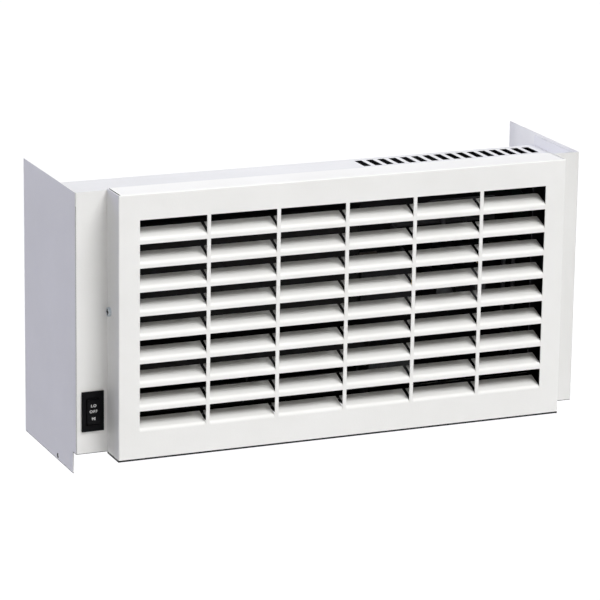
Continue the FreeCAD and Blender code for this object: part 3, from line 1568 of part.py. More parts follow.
def coil_leads():
    """A lead from each coil to the upper relay, one above the other."""
    relay_side = f"({RELAY_X} - relay_width/2)"
    start = f"({COIL_TOP} + terminal_length)"
    items = []
    for name, side in (("low_coil_lead", -1), ("high_coil_lead", 1)):
        across = f"({VALVE_X} + ({side})*coil_pitch/2)"
        height = f"({RELAY_Z[2]} - ({side})*lead_side_step)"
        items.append(lead(name, [
            (across, BURNER_Y, start),
            (across, BURNER_Y, height),
            (across, RELAY_Y, height),
            (relay_side, RELAY_Y, height),
        ]))
    compound("coil_leads", items)


def electrode_leads():
    """Leads from the spark and sensor rods to the relays level with them."""
    relay_side = f"({RELAY_X} - relay_width/2)"
    start = f"({CHAMBER_RIGHT} - insulator_inside + insulator_length)"
    corner = f"({start} + electrode_lead_run)"
    for name, height in (("spark_lead", SPARK_Z), ("sensor_lead", SENSOR_Z)):
        lead(name, [
            (start, BURNER_Y, height),
            (corner, BURNER_Y, height),
            (corner, RELAY_Y, height),
            (relay_side, RELAY_Y, height),
        ])


SUB_PARTS = [
    "left_side_panel",
    "right_side_panel",
    "top_deck",
    "bottom_panel",
    "rear_panel",
    "rear_screws",
    "upper_wall_rail",
    "lower_wall_rail",
    "rail_screws",
    "front_cover",
    "cover_screws",
    "switch_body",
    "rocker_paddle",
    "switch_terminals",
    "fan_wheel",
    "fan_shaft",
    "shaft_bush",
    "fan_motor",
    "motor_bushes",
    "motor_screws",
    "left_end_plate",
    "right_end_plate",
    "foot_screws",
    "fan_scroll",
    "fan_tongue",
    "chamber_front_shell",
    "chamber_rear_shell",
    "chamber_brackets",
    "flue_pipe",
    "air_pipe",
    "vent_gaskets",
    "burner_tube",
    "burner_gasket",
    "burner_plate",
    "air_box",
    "gas_orifice",
    "spark_insulator",
    "spark_rod",
    "sensor_insulator",
    "sensor_rod",
    "limit_switch",
    "gas_valve",
    "low_coil",
    "high_coil",
    "gas_cock_knob",
    "manifold_pipe",
    "supply_pipe",
    "inlet_fitting",
    "valve_bracket",
    "control_board",
    "board_standoffs",
    "board_screws",
    "board_relays",
    "board_plug",
    "switch_lead",
    "motor_lead",
    "coil_leads",
    "spark_lead",
    "sensor_lead",
]


def build_cabinet():
    side_panel("left_side_panel", -1, True)
    side_panel("right_side_panel", 1, False)
    top_deck()
    bottom_panel()
    rear_flange_holes()
    rear_panel()
    rear_screws()
    wall_rail("lower_wall_rail", RAIL_Z[0])
    wall_rail("upper_wall_rail", RAIL_Z[1])
    rail_screws()
    front_cover()
    cover_screws()


def build_switch():
    switch_body()
    rocker_paddle()
    switch_terminals()


def build_fan():
    fan_wheel()
    fan_shaft()
    shaft_bush()
    fan_motor()
    motor_bushes()
    motor_screws()
    end_plate("left_end_plate", -1)
    end_plate("right_end_plate", 1)
    foot_screws()
    fan_scroll()
    fan_tongue()


def build_burner():
    chamber_shell("chamber_front_shell", -1)
    chamber_shell("chamber_rear_shell", 1)
    chamber_brackets()
    vent_pipe("flue_pipe", (FLUE_X, FLUE_Z), CHAMBER_BACK, FLUE_STEM, "flue_radius")
    vent_pipe("air_pipe", (AIR_PIPE_X, BURNER_Z), AIR_BOX_BACK, AIR_STEM, "air_pipe_radius")
    vent_gaskets()
    burner_tube()
    burner_mount()
    air_box()
    gas_orifice()
    electrodes()
    limit_switch()


def build_controls():
    gas_valve()
    valve_coils()
    gas_cock()
    manifold_pipe()
    supply_pipe()
    inlet_fitting()
    valve_bracket()
    control_board()
    board_standoffs()
    board_screws()
    board_relays()
    board_plug()
    switch_lead()
    motor_lead()
    coil_leads()
    electrode_leads()


def check_and_write():
    doc.recompute()
    failed = [item.Name for item in doc.Objects if "Invalid" in item.State or "Error" in item.State]
    if failed:
        raise RuntimeError(f"failed objects: {failed}")
    shapes = {name: doc.getObject(name).Shape for name in SUB_PARTS}
    broken = [name for name, shape in shapes.items() if shape.isNull() or not shape.isValid()]
    if broken:
        raise RuntimeError(f"broken sub-parts: {broken}")
    os.makedirs("parts", exist_ok=True)
    for name, shape in shapes.items():
        shape.exportStep(f"parts/{name}.step")


build_cabinet()
build_switch()
build_fan()
build_burner()
build_controls()
check_and_write()
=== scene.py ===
import json
import math

import bmesh
import bpy
from mathutils import Matrix, Vector


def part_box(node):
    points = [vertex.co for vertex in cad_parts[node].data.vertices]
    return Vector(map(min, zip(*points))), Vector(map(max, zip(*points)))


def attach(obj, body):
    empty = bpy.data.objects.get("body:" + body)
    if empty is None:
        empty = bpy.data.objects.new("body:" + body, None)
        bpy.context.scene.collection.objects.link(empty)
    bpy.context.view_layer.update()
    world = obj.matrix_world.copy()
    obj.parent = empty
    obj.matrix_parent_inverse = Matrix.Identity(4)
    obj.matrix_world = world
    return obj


# White wall heater: its sheet-metal cabinet, louvred cover and rocker switch, dressed for a studio picture.
# Metres, +Z up, the room on the -Y side.

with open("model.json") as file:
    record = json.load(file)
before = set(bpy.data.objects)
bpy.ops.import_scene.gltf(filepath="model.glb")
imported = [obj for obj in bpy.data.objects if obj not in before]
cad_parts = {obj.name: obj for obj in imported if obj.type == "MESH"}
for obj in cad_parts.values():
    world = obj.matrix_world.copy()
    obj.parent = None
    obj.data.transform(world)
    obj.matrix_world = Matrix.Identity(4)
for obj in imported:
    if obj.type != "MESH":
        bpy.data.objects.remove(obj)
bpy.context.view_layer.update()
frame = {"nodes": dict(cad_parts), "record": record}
nodes = frame["nodes"]

# Camera: it looks from the front left and above, through a long lens
CAMERA_SPOT = Vector((-1.3371, -3.2500, 0.9251))
CAMERA_YAW = math.radians(22.856)
CAMERA_PITCH = math.radians(15.212)
CAMERA_ROLL = math.radians(0.815)
CAMERA_LENS = 198.998
CAMERA_SENSOR = 36.0
CAMERA_REACH = 200.0

# Light: a soft lamp high on the right, a wide warm one in front, a cool one behind on the left.
# Each lamp has the direction it comes from, its angular width in degrees, its strength and its colour.
LAMPS = {
    "key_lamp": ((0.28, -0.535, 0.797), 30.0, 2.60, (1.0, 1.0, 1.0)),
    "front_lamp": ((-0.05, -0.95, 0.25), 70.0, 0.78, (1.0, 0.97, 0.90)),
    "rear_lamp": ((-0.58, 0.75, 0.32), 40.0, 1.00, (0.62, 0.62, 1.0)),
}
# A square lamp hangs over the top: where it hangs, the spot it faces, its side and its power
TOP_LAMP_PLACE = Vector((-0.20, -0.10, 0.80))
TOP_LAMP_AIM = Vector((0.0, -0.12, 0.10))
TOP_LAMP_SIDE = 0.7
TOP_LAMP_POWER = 1.6
# A narrow lamp far out on the left reaches the right end of the top, and leaves no glint there: where it
# stands, the spot it faces, the full angle of its beam in degrees, the soft share of the beam, its radius
# and its power
END_LAMP_PLACE = Vector((-2.65, 0.06, 0.67))
END_LAMP_AIM = Vector((0.285, -0.085, 0.146))
END_LAMP_BEAM = 4.0
END_LAMP_SOFT = 0.6
END_LAMP_RADIUS = 0.03
END_LAMP_POWER = 130.0

# The room gives a faint cool light, and looks white
ROOM_COLOUR = (0.90, 0.95, 1.10)
ROOM_STRENGTH = 0.01
ROOM_SEEN_COLOUR = (1.0, 1.0, 1.0)
ROOM_SEEN_STRENGTH = 1.0

FLOOR_HEIGHT = -0.75
FLOOR_HALF = 30.0
FLOOR_COLOUR = (0.80, 0.80, 0.80)
FLOOR_SEEN_COLOUR = (0.40, 0.40, 0.40)
FLOOR_SEEN_GLOW = 0.72

# Space that the cabinet's panels close in, and the space behind the louvres; painted shade makes their
# sheets near black inside
CABINET_SPACE = ((-0.2845, -0.1665, -0.1265), (0.2845, -0.0620, 0.1355))
COVER_SPACE = ((-0.2482, -0.2005, -0.1280), (0.2482, -0.1665, 0.1510))
# Painted shade on the sheets: inside, behind the louvres, in the tab's hole, slit and slots, along the foot
PAINTED_SHADE_COLOUR = (0.010, 0.010, 0.011)
# Painted shade on metal inside the cabinet and in the cross of the cover's screws
METAL_SHADE_COLOUR = (0.015, 0.018, 0.022)
# A side of the cover looks back to the wall where its normal leans that way by more than this; such
# sides carry painted shade
WALL_LEAN = 0.05
# Painted shade in the cross of the cover's screws: half the width of an arm and the reach from the middle
SCREW_CROSS_HALF = 0.0011
SCREW_CROSS_REACH = 0.0033
# Middle of the tab's hole along Y and Z, and the radius that takes in its wall and rim; painted shade
# makes them dark
TAB_HOLE = (-0.1080, -0.1455, 0.0028)
# Open slit at the top left corner of the cover, dark inside with painted shade
CORNER_SLIT = ((-0.25005, -0.2010, 0.1505), (-0.24855, -0.1665, 0.1525))
# Painted shade in dark lines: the top of the line along the cover's foot, and the boxes of those along the
# foot of the strips, the foot of the tab and on the walls of the outlet slots
COVER_FOOT_SHADE_TOP = -0.1267
PANEL_SHADE_BOXES = (
    ((-0.2851, -0.1671, -0.1271), (0.2851, -0.1575, -0.1264)),
    ((-0.2851, -0.1571, -0.1501), (-0.2839, 0.0001, -0.1494)),
    ((0.0600, -0.1000, 0.1340), (0.2750, -0.0680, 0.13595)),
)

# Powder coat: the darkest and the lightest white of each sheet, its specks and its gloss. The cover is a
# little whiter as painted light, the right panel and the deck a little greyer as painted shade, on one coat.
PANEL_WHITES = ((0.810, 0.810, 0.795), (0.842, 0.842, 0.829))
COVER_LIT_WHITES = ((0.846, 0.846, 0.829), (0.879, 0.879, 0.866))
RIGHT_PANEL_SHADED_WHITES = ((0.762, 0.762, 0.748), (0.792, 0.792, 0.780))
DECK_SHADED_WHITES = ((0.712, 0.715, 0.726), (0.742, 0.745, 0.756))
COAT_SPECK_COLOUR = (0.62, 0.62, 0.61)
COAT_GLOSS = 0.22

# Zinc spangle: its dark and light crystals, its dull film, and the share that the large crystals have in it
ZINC_DARK = (0.42, 0.44, 0.46)
ZINC_LIGHT = (0.60, 0.62, 0.64)
ZINC_FILM = (0.50, 0.50, 0.49)
LARGE_CRYSTAL_SHARE = 0.65

HOT_STEEL_DARK = (0.20, 0.20, 0.21)
HOT_STEEL_LIGHT = (0.34, 0.34, 0.34)
HOT_STEEL_TINT = (0.20, 0.14, 0.10)

BRASS_DARK = (0.46, 0.31, 0.11)
BRASS_LIGHT = (0.72, 0.53, 0.22)
# Thread on the outer end of the gas inlet
THREAD_LENGTH = 0.026
THREAD_PITCH = 0.0014
THREAD_DEPTH = 0.0010

# Circuit board: its laminate, the copper runs under its lacquer, the scale of their pattern, the width of a
# run in that pattern, and its gloss
BOARD_LAMINATE = (0.004, 0.012, 0.008)
BOARD_COPPER = (0.008, 0.024, 0.014)
BOARD_RUNS = 150.0
BOARD_RUN_WIDTH = 0.04
BOARD_GLOSS = 0.2

# Depth of a fine grain in metal, plastic or enamel, and how much finer a metal's grain is than its mottle
GRAIN_DEPTH = 0.0002
METAL_FINENESS = 6.0

# Rocker switch marks: each word, the height of its middle over the paddle's middle and its letter spacing
MARKS = (("LO", 0.0065, 1.25), ("OFF", 0.0002, 1.25), ("HI", -0.0072, 1.0))
MARK_SIZE = 0.0042
MARK_WEIGHT = 0.00008
MARK_PROUD = 0.00006
# Radius of the paddle's dished face, and how far its middle lies behind its foremost edge
PADDLE_DISH = 0.048
PADDLE_DIP = 0.0017


# Node helpers

def new_material(name):
    item = bpy.data.materials.new(name)
    item.use_nodes = True
    tree = item.node_tree
    return item, tree, tree.nodes["Principled BSDF"]


def dress(tree, shader, colour, roughness):
    """Join a colour and a roughness to a shader."""
    tree.links.new(colour, shader.inputs["Base Color"])
    tree.links.new(roughness, shader.inputs["Roughness"])


def place(tree):
    """The point on the part, in metres."""
    return tree.nodes.new("ShaderNodeTexCoord").outputs["Object"]


def split_axes(tree, vector):
    """The parts of a vector along X, Y and Z."""
    item = tree.nodes.new("ShaderNodeSeparateXYZ")
    tree.links.new(vector, item.inputs["Vector"])
    return item.outputs


def noise(tree, scale, detail=3.0, stretch=(1.0, 1.0, 1.0)):
    mapping = tree.nodes.new("ShaderNodeMapping")
    mapping.inputs["Scale"].default_value = stretch
    tree.links.new(place(tree), mapping.inputs["Vector"])
    item = tree.nodes.new("ShaderNodeTexNoise")
    item.inputs["Scale"].default_value = scale
    item.inputs["Detail"].default_value = detail
    tree.links.new(mapping.outputs["Vector"], item.inputs["Vector"])
    return item.outputs["Fac"]


def cells(tree, scale):
    """A random grey for each cell of an irregular net."""
    item = tree.nodes.new("ShaderNodeTexVoronoi")
    item.inputs["Scale"].default_value = scale
    tree.links.new(place(tree), item.inputs["Vector"])
    split = tree.nodes.new("ShaderNodeSeparateColor")
    tree.links.new(item.outputs["Color"], split.inputs["Color"])
    return split.outputs["Red"]


def spread(tree, source, low, high, start=0.3, end=0.7):
    """A source between start and end, spread from low to high."""
    item = tree.nodes.new("ShaderNodeMapRange")
    item.inputs["From Min"].default_value = start
    item.inputs["From Max"].default_value = end
    item.inputs["To Min"].default_value = low
    item.inputs["To Max"].default_value = high
    tree.links.new(source, item.inputs["Value"])
    return item.outputs["Result"]


def calculate(tree, operation, *sources):
    """An operation on sockets and plain numbers."""
    item = tree.nodes.new("ShaderNodeMath")
    item.operation = operation
    for socket, source in zip(item.inputs, sources):
        if isinstance(source, (int, float)):
            socket.default_value = source
        else:
            tree.links.new(source, socket)
    return item.outputs["Value"]


def any_of(tree, *shares):
    """One where any of the shares is one, else nought."""
    whole = shares[0]
    for share in shares[1:]:
        whole = calculate(tree, "MAXIMUM", whole, share)
    return whole


def blend_colours(tree, share, first, second):
    item = tree.nodes.new("ShaderNodeMix")
    item.data_type = "RGBA"
    tree.links.new(share, item.inputs["Factor"])
    for name, source in (("A", first), ("B", second)):
        socket = next(s for s in item.inputs if s.name == name and s.type == "RGBA")
        if isinstance(source, tuple):
            socket.default_value = (*source, 1.0)
        else:
            tree.links.new(source, socket)
    return next(s for s in item.outputs if s.type == "RGBA")


def bump(tree, shader, height, strength, distance, before=None):
    item = tree.nodes.new("ShaderNodeBump")
    item.inputs["Strength"].default_value = strength
    item.inputs["Distance"].default_value = distance
    tree.links.new(height, item.inputs["Height"])
    if before is not None:
        tree.links.new(before, item.inputs["Normal"])
    tree.links.new(item.outputs["Normal"], shader.inputs["Normal"])
    return item.outputs["Normal"]


# Places on the part, and where shade is painted

def within(tree, low, high):
    """One for points inside a box, else nought."""
    point = split_axes(tree, place(tree))
    tests = []
    for axis, least, most in zip("XYZ", low, high):
        tests.append(calculate(tree, "GREATER_THAN", point[axis], least))
        tests.append(calculate(tree, "LESS_THAN", point[axis], most))
    share = tests[0]
    for test in tests[1:]:
        share = calculate(tree, "MULTIPLY", share, test)
    return share


def near_x_line(tree, level_y, level_z, radius):
    """One for points within a radius of a line along X, else nought."""
    point = split_axes(tree, place(tree))
    squares = []
    for axis, level in (("Y", level_y), ("Z", level_z)):
        offset = calculate(tree, "SUBTRACT", point[axis], level)
        squares.append(calculate(tree, "MULTIPLY", offset, offset))
    return calculate(tree, "LESS_THAN", calculate(tree, "ADD", *squares), radius ** 2)


def inside_shade(tree):
    """Mask for painted shade: the sides of the cabinet's sheets that face its closed inside, and those
    behind the louvres.
    """
    return any_of(tree, within(tree, *CABINET_SPACE), within(tree, *COVER_SPACE))


def screw_cross(tree):
    """Painted shade in the cross of the heads of the cover's two side screws."""
    low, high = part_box("cover_screws")
    middle = (low + high) / 2
    point = split_axes(tree, place(tree))
    offsets = []
    for axis, level in (("Y", middle.y), ("Z", middle.z)):
        offset = calculate(tree, "SUBTRACT", point[axis], level)
        offsets.append(calculate(tree, "ABSOLUTE", offset))
    arms = calculate(tree, "LESS_THAN", calculate(tree, "MINIMUM", *offsets), SCREW_CROSS_HALF)
    reach = near_x_line(tree, middle.y, middle.z, SCREW_CROSS_REACH)
    return calculate(tree, "MULTIPLY", arms, reach)


def facing_wall(tree):
    """The sides of a sheet that look back to the wall."""
    normal = split_axes(tree, tree.nodes.new("ShaderNodeNewGeometry").outputs["True Normal"])
    return calculate(tree, "GREATER_THAN", normal["Y"], WALL_LEAN)


def panel_shade(tree):
    """Painted shade inside the cabinet, in the tab's hole, at the foot of the strips and tab and in the
    slots.
    """
    edges = [within(tree, low, high) for low, high in PANEL_SHADE_BOXES]
    return any_of(tree, inside_shade(tree), near_x_line(tree, *TAB_HOLE), *edges)


def cover_shade(tree):
    """Painted shade on the sides of the cover that look back to the wall, in its corner slit and along its
    foot.
    """
    point = split_axes(tree, place(tree))
    edge = calculate(tree, "LESS_THAN", point["Z"], COVER_FOOT_SHADE_TOP)
    return any_of(tree, facing_wall(tree), within(tree, *CORNER_SLIT), edge)


# Materials

def powder_coat(name, whites, back):
    """Satin white powder coat with a fine orange-peel skin, and near-black painted shade where the given
    mask picks out.
    """
    item, tree, shader = new_material(name)
    shader.inputs["Specular IOR Level"].default_value = COAT_GLOSS
    patches = spread(tree, noise(tree, scale=14.0), low=0.0, high=1.0)
    colour = blend_colours(tree, patches, *whites)
    specks = spread(tree, noise(tree, scale=2600.0, detail=1.0), low=0.0, high=0.10, start=0.55, end=0.75)
    colour = blend_colours(tree, specks, colour, COAT_SPECK_COLOUR)
    # Painted shade where the mask picks out
    colour = blend_colours(tree, back(tree), colour, PAINTED_SHADE_COLOUR)
    dress(tree, shader, colour, spread(tree, noise(tree, scale=160.0), low=0.36, high=0.47))
    peel = bump(tree, shader, noise(tree, scale=620.0, detail=2.0), strength=0.16, distance=0.0005)
    bump(tree, shader, noise(tree, scale=60.0, detail=1.0), strength=0.05, distance=0.002, before=peel)
    return item


def metal(name, dark, light, rough, scale, shade_mask=None):
    """Cast, ground or plated metal with a mottled finish, and dark painted shade where the given mask picks
    out.
    """
    item, tree, shader = new_material(name)
    shader.inputs["Metallic"].default_value = 1.0
    mottle = spread(tree, noise(tree, scale, detail=4.0), low=0.0, high=1.0)
    colour = blend_colours(tree, mottle, dark, light)
    if shade_mask is not None:
        # Painted shade where the mask picks out
        colour = blend_colours(tree, shade_mask(tree), colour, METAL_SHADE_COLOUR)
    fine = noise(tree, METAL_FINENESS * scale)
    dress(tree, shader, colour, spread(tree, fine, *rough))
    bump(tree, shader, fine, strength=0.1, distance=GRAIN_DEPTH)
    return item


def galvanised(name):
    """Zinc spangle: crystal patches of differing grey under fine rolling scratches, with painted shade on
    the closed-in sides.
    """
    item, tree, shader = new_material(name)
    shader.inputs["Metallic"].default_value = 0.85
    large = calculate(tree, "MULTIPLY", cells(tree, scale=110.0), LARGE_CRYSTAL_SHARE)
    spangle = calculate(tree, "MULTIPLY_ADD", cells(tree, scale=260.0), 1.0 - LARGE_CRYSTAL_SHARE, large)
    colour = blend_colours(tree, spangle, ZINC_DARK, ZINC_LIGHT)
    film = spread(tree, noise(tree, scale=12.0), low=0.0, high=0.35)
    colour = blend_colours(tree, film, colour, ZINC_FILM)
    # Painted shade on the sides that face the closed inside
    colour = blend_colours(tree, inside_shade(tree), colour, PAINTED_SHADE_COLOUR)
    dress(tree, shader, colour, spread(tree, spangle, low=0.34, high=0.52, start=0.0, end=1.0))
    scratch = noise(tree, scale=500.0, detail=2.0, stretch=(0.06, 1.0, 1.0))
    bump(tree, shader, scratch, strength=0.08, distance=GRAIN_DEPTH)
    return item


def plastic(name, dark, light, rough, grain=1400.0, strength=0.12, gloss=0.5):
    """Moulded plastic, enamel, rubber, ceramic or sleeving with a fine grain."""
    item, tree, shader = new_material(name)
    shader.inputs["Specular IOR Level"].default_value = gloss
    cloud = spread(tree, noise(tree, scale=70.0), low=0.0, high=1.0)
    colour = blend_colours(tree, cloud, dark, light)
    dress(tree, shader, colour, spread(tree, noise(tree, scale=400.0), *rough))
    bump(tree, shader, noise(tree, scale=grain, detail=2.0), strength, distance=GRAIN_DEPTH)
    return item


def heat_steel(name):
    """Aluminised steel, dulled and tinted by heat, with painted shade on the sides that face the closed
    inside.
    """
    item, tree, shader = new_material(name)
    shader.inputs["Metallic"].default_value = 0.8
    cloud = spread(tree, noise(tree, scale=22.0, detail=5.0), low=0.0, high=1.0)
    colour = blend_colours(tree, cloud, HOT_STEEL_DARK, HOT_STEEL_LIGHT)
    tint = spread(tree, noise(tree, scale=9.0, detail=2.0), low=0.0, high=0.45, start=0.5, end=0.8)
    colour = blend_colours(tree, tint, colour, HOT_STEEL_TINT)
    # Painted shade on the sides that face the closed inside
    colour = blend_colours(tree, inside_shade(tree), colour, PAINTED_SHADE_COLOUR)
    dress(tree, shader, colour, spread(tree, noise(tree, scale=240.0), low=0.42, high=0.62))
    bump(tree, shader, noise(tree, scale=900.0, detail=2.0), strength=0.1, distance=GRAIN_DEPTH)
    return item


def threaded_brass(name):
    """Turned brass; the outer end of the inlet carries a thread."""
    low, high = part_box("inlet_fitting")
    item, tree, shader = new_material(name)
    shader.inputs["Metallic"].default_value = 1.0
    tarnish = spread(tree, noise(tree, scale=160.0, detail=4.0), low=0.0, high=1.0)
    colour = blend_colours(tree, tarnish, BRASS_DARK, BRASS_LIGHT)
    dress(tree, shader, colour, spread(tree, noise(tree, scale=700.0), low=0.22, high=0.38))
    point = split_axes(tree, place(tree))
    across = calculate(tree, "SUBTRACT", point["X"], (low.x + high.x) / 2)
    up = calculate(tree, "SUBTRACT", point["Z"], (low.z + high.z) / 2)
    turn = calculate(tree, "DIVIDE", calculate(tree, "ARCTAN2", up, across), 2 * math.pi)
    along = calculate(tree, "DIVIDE", point["Y"], THREAD_PITCH)
    wave = calculate(tree, "PINGPONG", calculate(tree, "ADD", turn, along), 0.5)
    on_thread = calculate(tree, "GREATER_THAN", point["Y"], high.y - THREAD_LENGTH)
    ridges = calculate(tree, "MULTIPLY", wave, on_thread)
    bump(tree, shader, ridges, strength=1.0, distance=THREAD_DEPTH)
    return item


def circuit_board(name):
    """Dark green lacquered laminate with faint copper runs under the lacquer."""
    item, tree, shader = new_material(name)
    shader.inputs["Specular IOR Level"].default_value = BOARD_GLOSS
    runs = tree.nodes.new("ShaderNodeTexBrick")
    runs.inputs["Scale"].default_value = BOARD_RUNS
    runs.inputs["Mortar Size"].default_value = BOARD_RUN_WIDTH
    tree.links.new(place(tree), runs.inputs["Vector"])
    colour = blend_colours(tree, runs.outputs["Fac"], BOARD_LAMINATE, BOARD_COPPER)
    dress(tree, shader, colour, spread(tree, noise(tree, scale=300.0), low=0.40, high=0.55))
    bump(tree, shader, runs.outputs["Fac"], strength=0.3, distance=0.0001)
    return item


# Finish of each material slot
finishes = {
    "white_paint": powder_coat("white_powder_coat", PANEL_WHITES, panel_shade),
    "galvanised_steel": galvanised("galvanised_sheet"),
    "zinc_screws": metal(
        "zinc_plate",
        dark=(0.52, 0.55, 0.58),
        light=(0.74, 0.76, 0.78),
        rough=(0.22, 0.36),
        scale=300.0,
        # Painted shade on the screws inside the cabinet
        shade_mask=inside_shade,
    ),
    "aluminised_steel": heat_steel("heat_dulled_steel"),
    "black_plastic": plastic(
        "black_moulding",
        dark=(0.003, 0.003, 0.004),
        light=(0.006, 0.006, 0.007),
        rough=(0.34, 0.46),
        gloss=0.05,
    ),
    "brass": threaded_brass("turned_brass"),
    "ceramic": plastic(
        "brown_glazed_ceramic",
        dark=(0.060, 0.046, 0.036),
        light=(0.100, 0.080, 0.065),
        rough=(0.45, 0.6),
        grain=900.0,
    ),
    "black_rubber": plastic(
        "black_rubber_skin",
        dark=(0.02, 0.02, 0.02),
        light=(0.04, 0.04, 0.04),
        rough=(0.6, 0.8),
        grain=800.0,
    ),
    "lead_jacket": plastic(
        "lead_sleeve",
        dark=(0.03, 0.03, 0.034),
        light=(0.06, 0.06, 0.065),
        rough=(0.5, 0.65),
        grain=700.0,
    ),
    "board": circuit_board("board_lacquer"),
    "motor_steel": metal(
        "cast_alloy",
        dark=(0.040, 0.041, 0.043),
        light=(0.070, 0.071, 0.074),
        rough=(0.50, 0.65),
        scale=120.0,
    ),
    "bright_steel": metal(
        "ground_steel",
        dark=(0.52, 0.52, 0.53),
        light=(0.68, 0.68, 0.69),
        rough=(0.18, 0.32),
        scale=200.0,
    ),
    "grey_gasket": plastic(
        "graphite_gasket",
        dark=(0.014, 0.014, 0.015),
        light=(0.028, 0.028, 0.028),
        rough=(0.7, 0.9),
        grain=500.0,
        strength=0.3,
        gloss=0.1,
    ),
    "black_enamel": plastic(
        "heat_enamel",
        dark=(0.008, 0.008, 0.008),
        light=(0.018, 0.017, 0.017),
        rough=(0.5, 0.7),
        grain=800.0,
        gloss=0.1,
    ),
}
# Finish of each piece that has one of its own; the cover's coat is lighter as painted light, the right
# panel's and the deck's greyer as painted shade
own_finishes = {
    "front_cover": powder_coat("cover_powder_coat", COVER_LIT_WHITES, cover_shade),
    "right_side_panel": powder_coat("right_side_panel_coat", RIGHT_PANEL_SHADED_WHITES, panel_shade),
    "top_deck": powder_coat("top_deck_coat", DECK_SHADED_WHITES, panel_shade),
    "cover_screws": metal(
        "cover_screw_zinc",
        dark=(0.40, 0.46, 0.52),
        light=(0.70, 0.74, 0.78),
        rough=(0.22, 0.36),
        scale=300.0,
        # Painted shade in the cross of their heads
        shade_mask=screw_cross,
    ),
    "board_plug": plastic(
        "plug_nylon",
        dark=(0.28, 0.26, 0.23),
        light=(0.38, 0.36, 0.32),
        rough=(0.45, 0.6),
        grain=900.0,
    ),
}
for part in frame["record"]["subparts"]:
    mesh = nodes[part["node"]].data
    mesh.materials.clear()
    mesh.materials.append(own_finishes.get(part["node"], finishes[part["material_slot"]]))


# Words on the rocker

def paddle_marks():
    """Printed words that lie on the dished face of the paddle and move with it."""
    low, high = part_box("rocker_paddle")
    middle_x = (low.x + high.x) / 2
    middle_z = (low.z + high.z) / 2
    dish_y = low.y + PADDLE_DIP - PADDLE_DISH
    whole = bmesh.new()
    for text, height, spacing in MARKS:
        curve = bpy.data.curves.new(f"mark_{text}", "FONT")
        curve.body = text
        curve.size = MARK_SIZE
        curve.offset = MARK_WEIGHT
        curve.space_character = spacing
        curve.align_x = "CENTER"
        curve.align_y = "CENTER"
        curve.extrude = MARK_PROUD
        draft = bpy.data.objects.new(f"mark_{text}", curve)
        bpy.context.scene.collection.objects.link(draft)
        bpy.context.view_layer.update()
        mesh = bpy.data.meshes.new_from_object(draft)
        for vertex in mesh.vertices:
            across, up, out = vertex.co
            rise = height + up
            face = dish_y + math.sqrt(PADDLE_DISH ** 2 - rise ** 2)
            vertex.co = (middle_x + across, face - out, middle_z + rise)
        whole.from_mesh(mesh)
        bpy.data.objects.remove(draft)
        bpy.data.meshes.remove(mesh)
        bpy.data.curves.remove(curve)
    bmesh.ops.recalc_face_normals(whole, faces=whole.faces)
    mesh = bpy.data.meshes.new("rocker_marks")
    whole.to_mesh(mesh)
    whole.free()
    white_print = plastic(
        "white_print",
        dark=(0.70, 0.70, 0.70),
        light=(0.80, 0.80, 0.80),
        rough=(0.45, 0.6),
        grain=2500.0,
    )
    mesh.materials.append(white_print)
    item = bpy.data.objects.new("rocker_marks", mesh)
    bpy.context.scene.collection.objects.link(item)
    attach(item, "rocker")


paddle_marks()


# Stage

def make_camera():
    ahead = Vector((
        math.sin(CAMERA_YAW) * math.cos(CAMERA_PITCH),
        math.cos(CAMERA_YAW) * math.cos(CAMERA_PITCH),
        -math.sin(CAMERA_PITCH),
    ))
    level = Vector((math.cos(CAMERA_YAW), -math.sin(CAMERA_YAW), 0.0))
    upright = level.cross(ahead)
    right = level * math.cos(CAMERA_ROLL) + upright * math.sin(CAMERA_ROLL)
    up = upright * math.cos(CAMERA_ROLL) - level * math.sin(CAMERA_ROLL)
    data = bpy.data.cameras.new("camera")
    data.lens = CAMERA_LENS
    data.sensor_width = CAMERA_SENSOR
    data.clip_end = CAMERA_REACH
    item = bpy.data.objects.new("camera", data)
    turn = Matrix((right, up, -ahead)).transposed().to_4x4()
    item.matrix_world = Matrix.Translation(CAMERA_SPOT) @ turn
    bpy.context.scene.collection.objects.link(item)
    bpy.context.scene.camera = item


def hang_lamp(name, data, spot, away):
    """Put a lamp at a spot, with its back to the direction named away."""
    item = bpy.data.objects.new(name, data)
    item.location = spot
    item.rotation_mode = "QUATERNION"
    item.rotation_quaternion = away.to_track_quat("Z", "Y")
    bpy.context.scene.collection.objects.link(item)
    return item


def make_lamps():
    for name, (source, width, strength, colour) in LAMPS.items():
        data = bpy.data.lights.new(name, "SUN")
        data.energy = strength
        data.color = colour
        data.angle = math.radians(width)
        hang_lamp(name, data, Vector(source), Vector(source))
    data = bpy.data.lights.new("top_lamp", "AREA")
    data.shape = "SQUARE"
    data.size = TOP_LAMP_SIDE
    data.energy = TOP_LAMP_POWER
    hang_lamp("top_lamp", data, TOP_LAMP_PLACE, TOP_LAMP_PLACE - TOP_LAMP_AIM)
    data = bpy.data.lights.new("end_lamp", "SPOT")
    data.spot_size = math.radians(END_LAMP_BEAM)
    data.spot_blend = END_LAMP_SOFT
    data.shadow_soft_size = END_LAMP_RADIUS
    data.energy = END_LAMP_POWER
    end_lamp = hang_lamp("end_lamp", data, END_LAMP_PLACE, END_LAMP_PLACE - END_LAMP_AIM)
    end_lamp.visible_glossy = False


def seen_share(tree):
    """One for rays that come straight from the eye or off a mirror or through glass, else nought."""
    path = tree.nodes.new("ShaderNodeLightPath").outputs
    return any_of(tree, path["Is Camera Ray"], path["Is Glossy Ray"], path["Is Transmission Ray"])


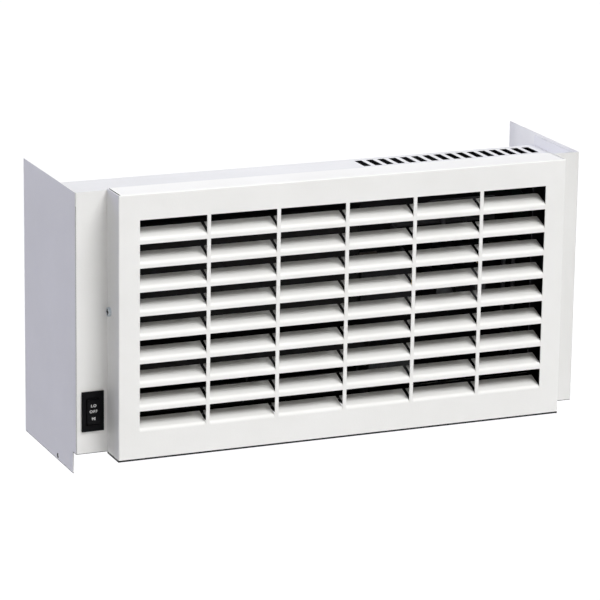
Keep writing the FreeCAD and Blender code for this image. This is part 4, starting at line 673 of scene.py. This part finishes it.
def make_room():
    world = bpy.data.worlds.new("room")
    bpy.context.scene.world = world
    world.use_nodes = True
    tree = world.node_tree
    tree.nodes.clear()
    ambient = tree.nodes.new("ShaderNodeBackground")
    ambient.inputs["Color"].default_value = (*ROOM_COLOUR, 1.0)
    ambient.inputs["Strength"].default_value = ROOM_STRENGTH
    seen = tree.nodes.new("ShaderNodeBackground")
    seen.inputs["Color"].default_value = (*ROOM_SEEN_COLOUR, 1.0)
    seen.inputs["Strength"].default_value = ROOM_SEEN_STRENGTH
    mix = tree.nodes.new("ShaderNodeMixShader")
    tree.links.new(seen_share(tree), mix.inputs[0])
    tree.links.new(ambient.outputs["Background"], mix.inputs[1])
    tree.links.new(seen.outputs["Background"], mix.inputs[2])
    output = tree.nodes.new("ShaderNodeOutputWorld")
    tree.links.new(mix.outputs["Shader"], output.inputs["Surface"])


def make_floor():
    """Pale floor well below the heater; it looks white where lit and keeps its shadow."""
    mesh = bpy.data.meshes.new("floor")
    half = FLOOR_HALF
    corners = [(-half, -half), (half, -half), (half, half), (-half, half)]
    mesh.from_pydata([(x, y, FLOOR_HEIGHT) for x, y in corners], [], [(0, 1, 2, 3)])
    item = bpy.data.objects.new("floor", mesh)
    bpy.context.scene.collection.objects.link(item)
    material = bpy.data.materials.new("floor_paint")
    material.use_nodes = True
    tree = material.node_tree
    tree.nodes.clear()
    matt = tree.nodes.new("ShaderNodeBsdfDiffuse")
    matt.inputs["Color"].default_value = (*FLOOR_COLOUR, 1.0)
    seen = tree.nodes.new("ShaderNodeBsdfDiffuse")
    seen.inputs["Color"].default_value = (*FLOOR_SEEN_COLOUR, 1.0)
    glow = tree.nodes.new("ShaderNodeEmission")
    glow.inputs["Strength"].default_value = FLOOR_SEEN_GLOW
    bright = tree.nodes.new("ShaderNodeAddShader")
    tree.links.new(seen.outputs["BSDF"], bright.inputs[0])
    tree.links.new(glow.outputs["Emission"], bright.inputs[1])
    mix = tree.nodes.new("ShaderNodeMixShader")
    tree.links.new(seen_share(tree), mix.inputs[0])
    tree.links.new(matt.outputs["BSDF"], mix.inputs[1])
    tree.links.new(bright.outputs["Shader"], mix.inputs[2])
    output = tree.nodes.new("ShaderNodeOutputMaterial")
    tree.links.new(mix.outputs["Shader"], output.inputs["Surface"])
    mesh.materials.append(material)


make_camera()
make_lamps()
make_room()
make_floor()
bpy.context.scene.view_settings.view_transform = "Standard"
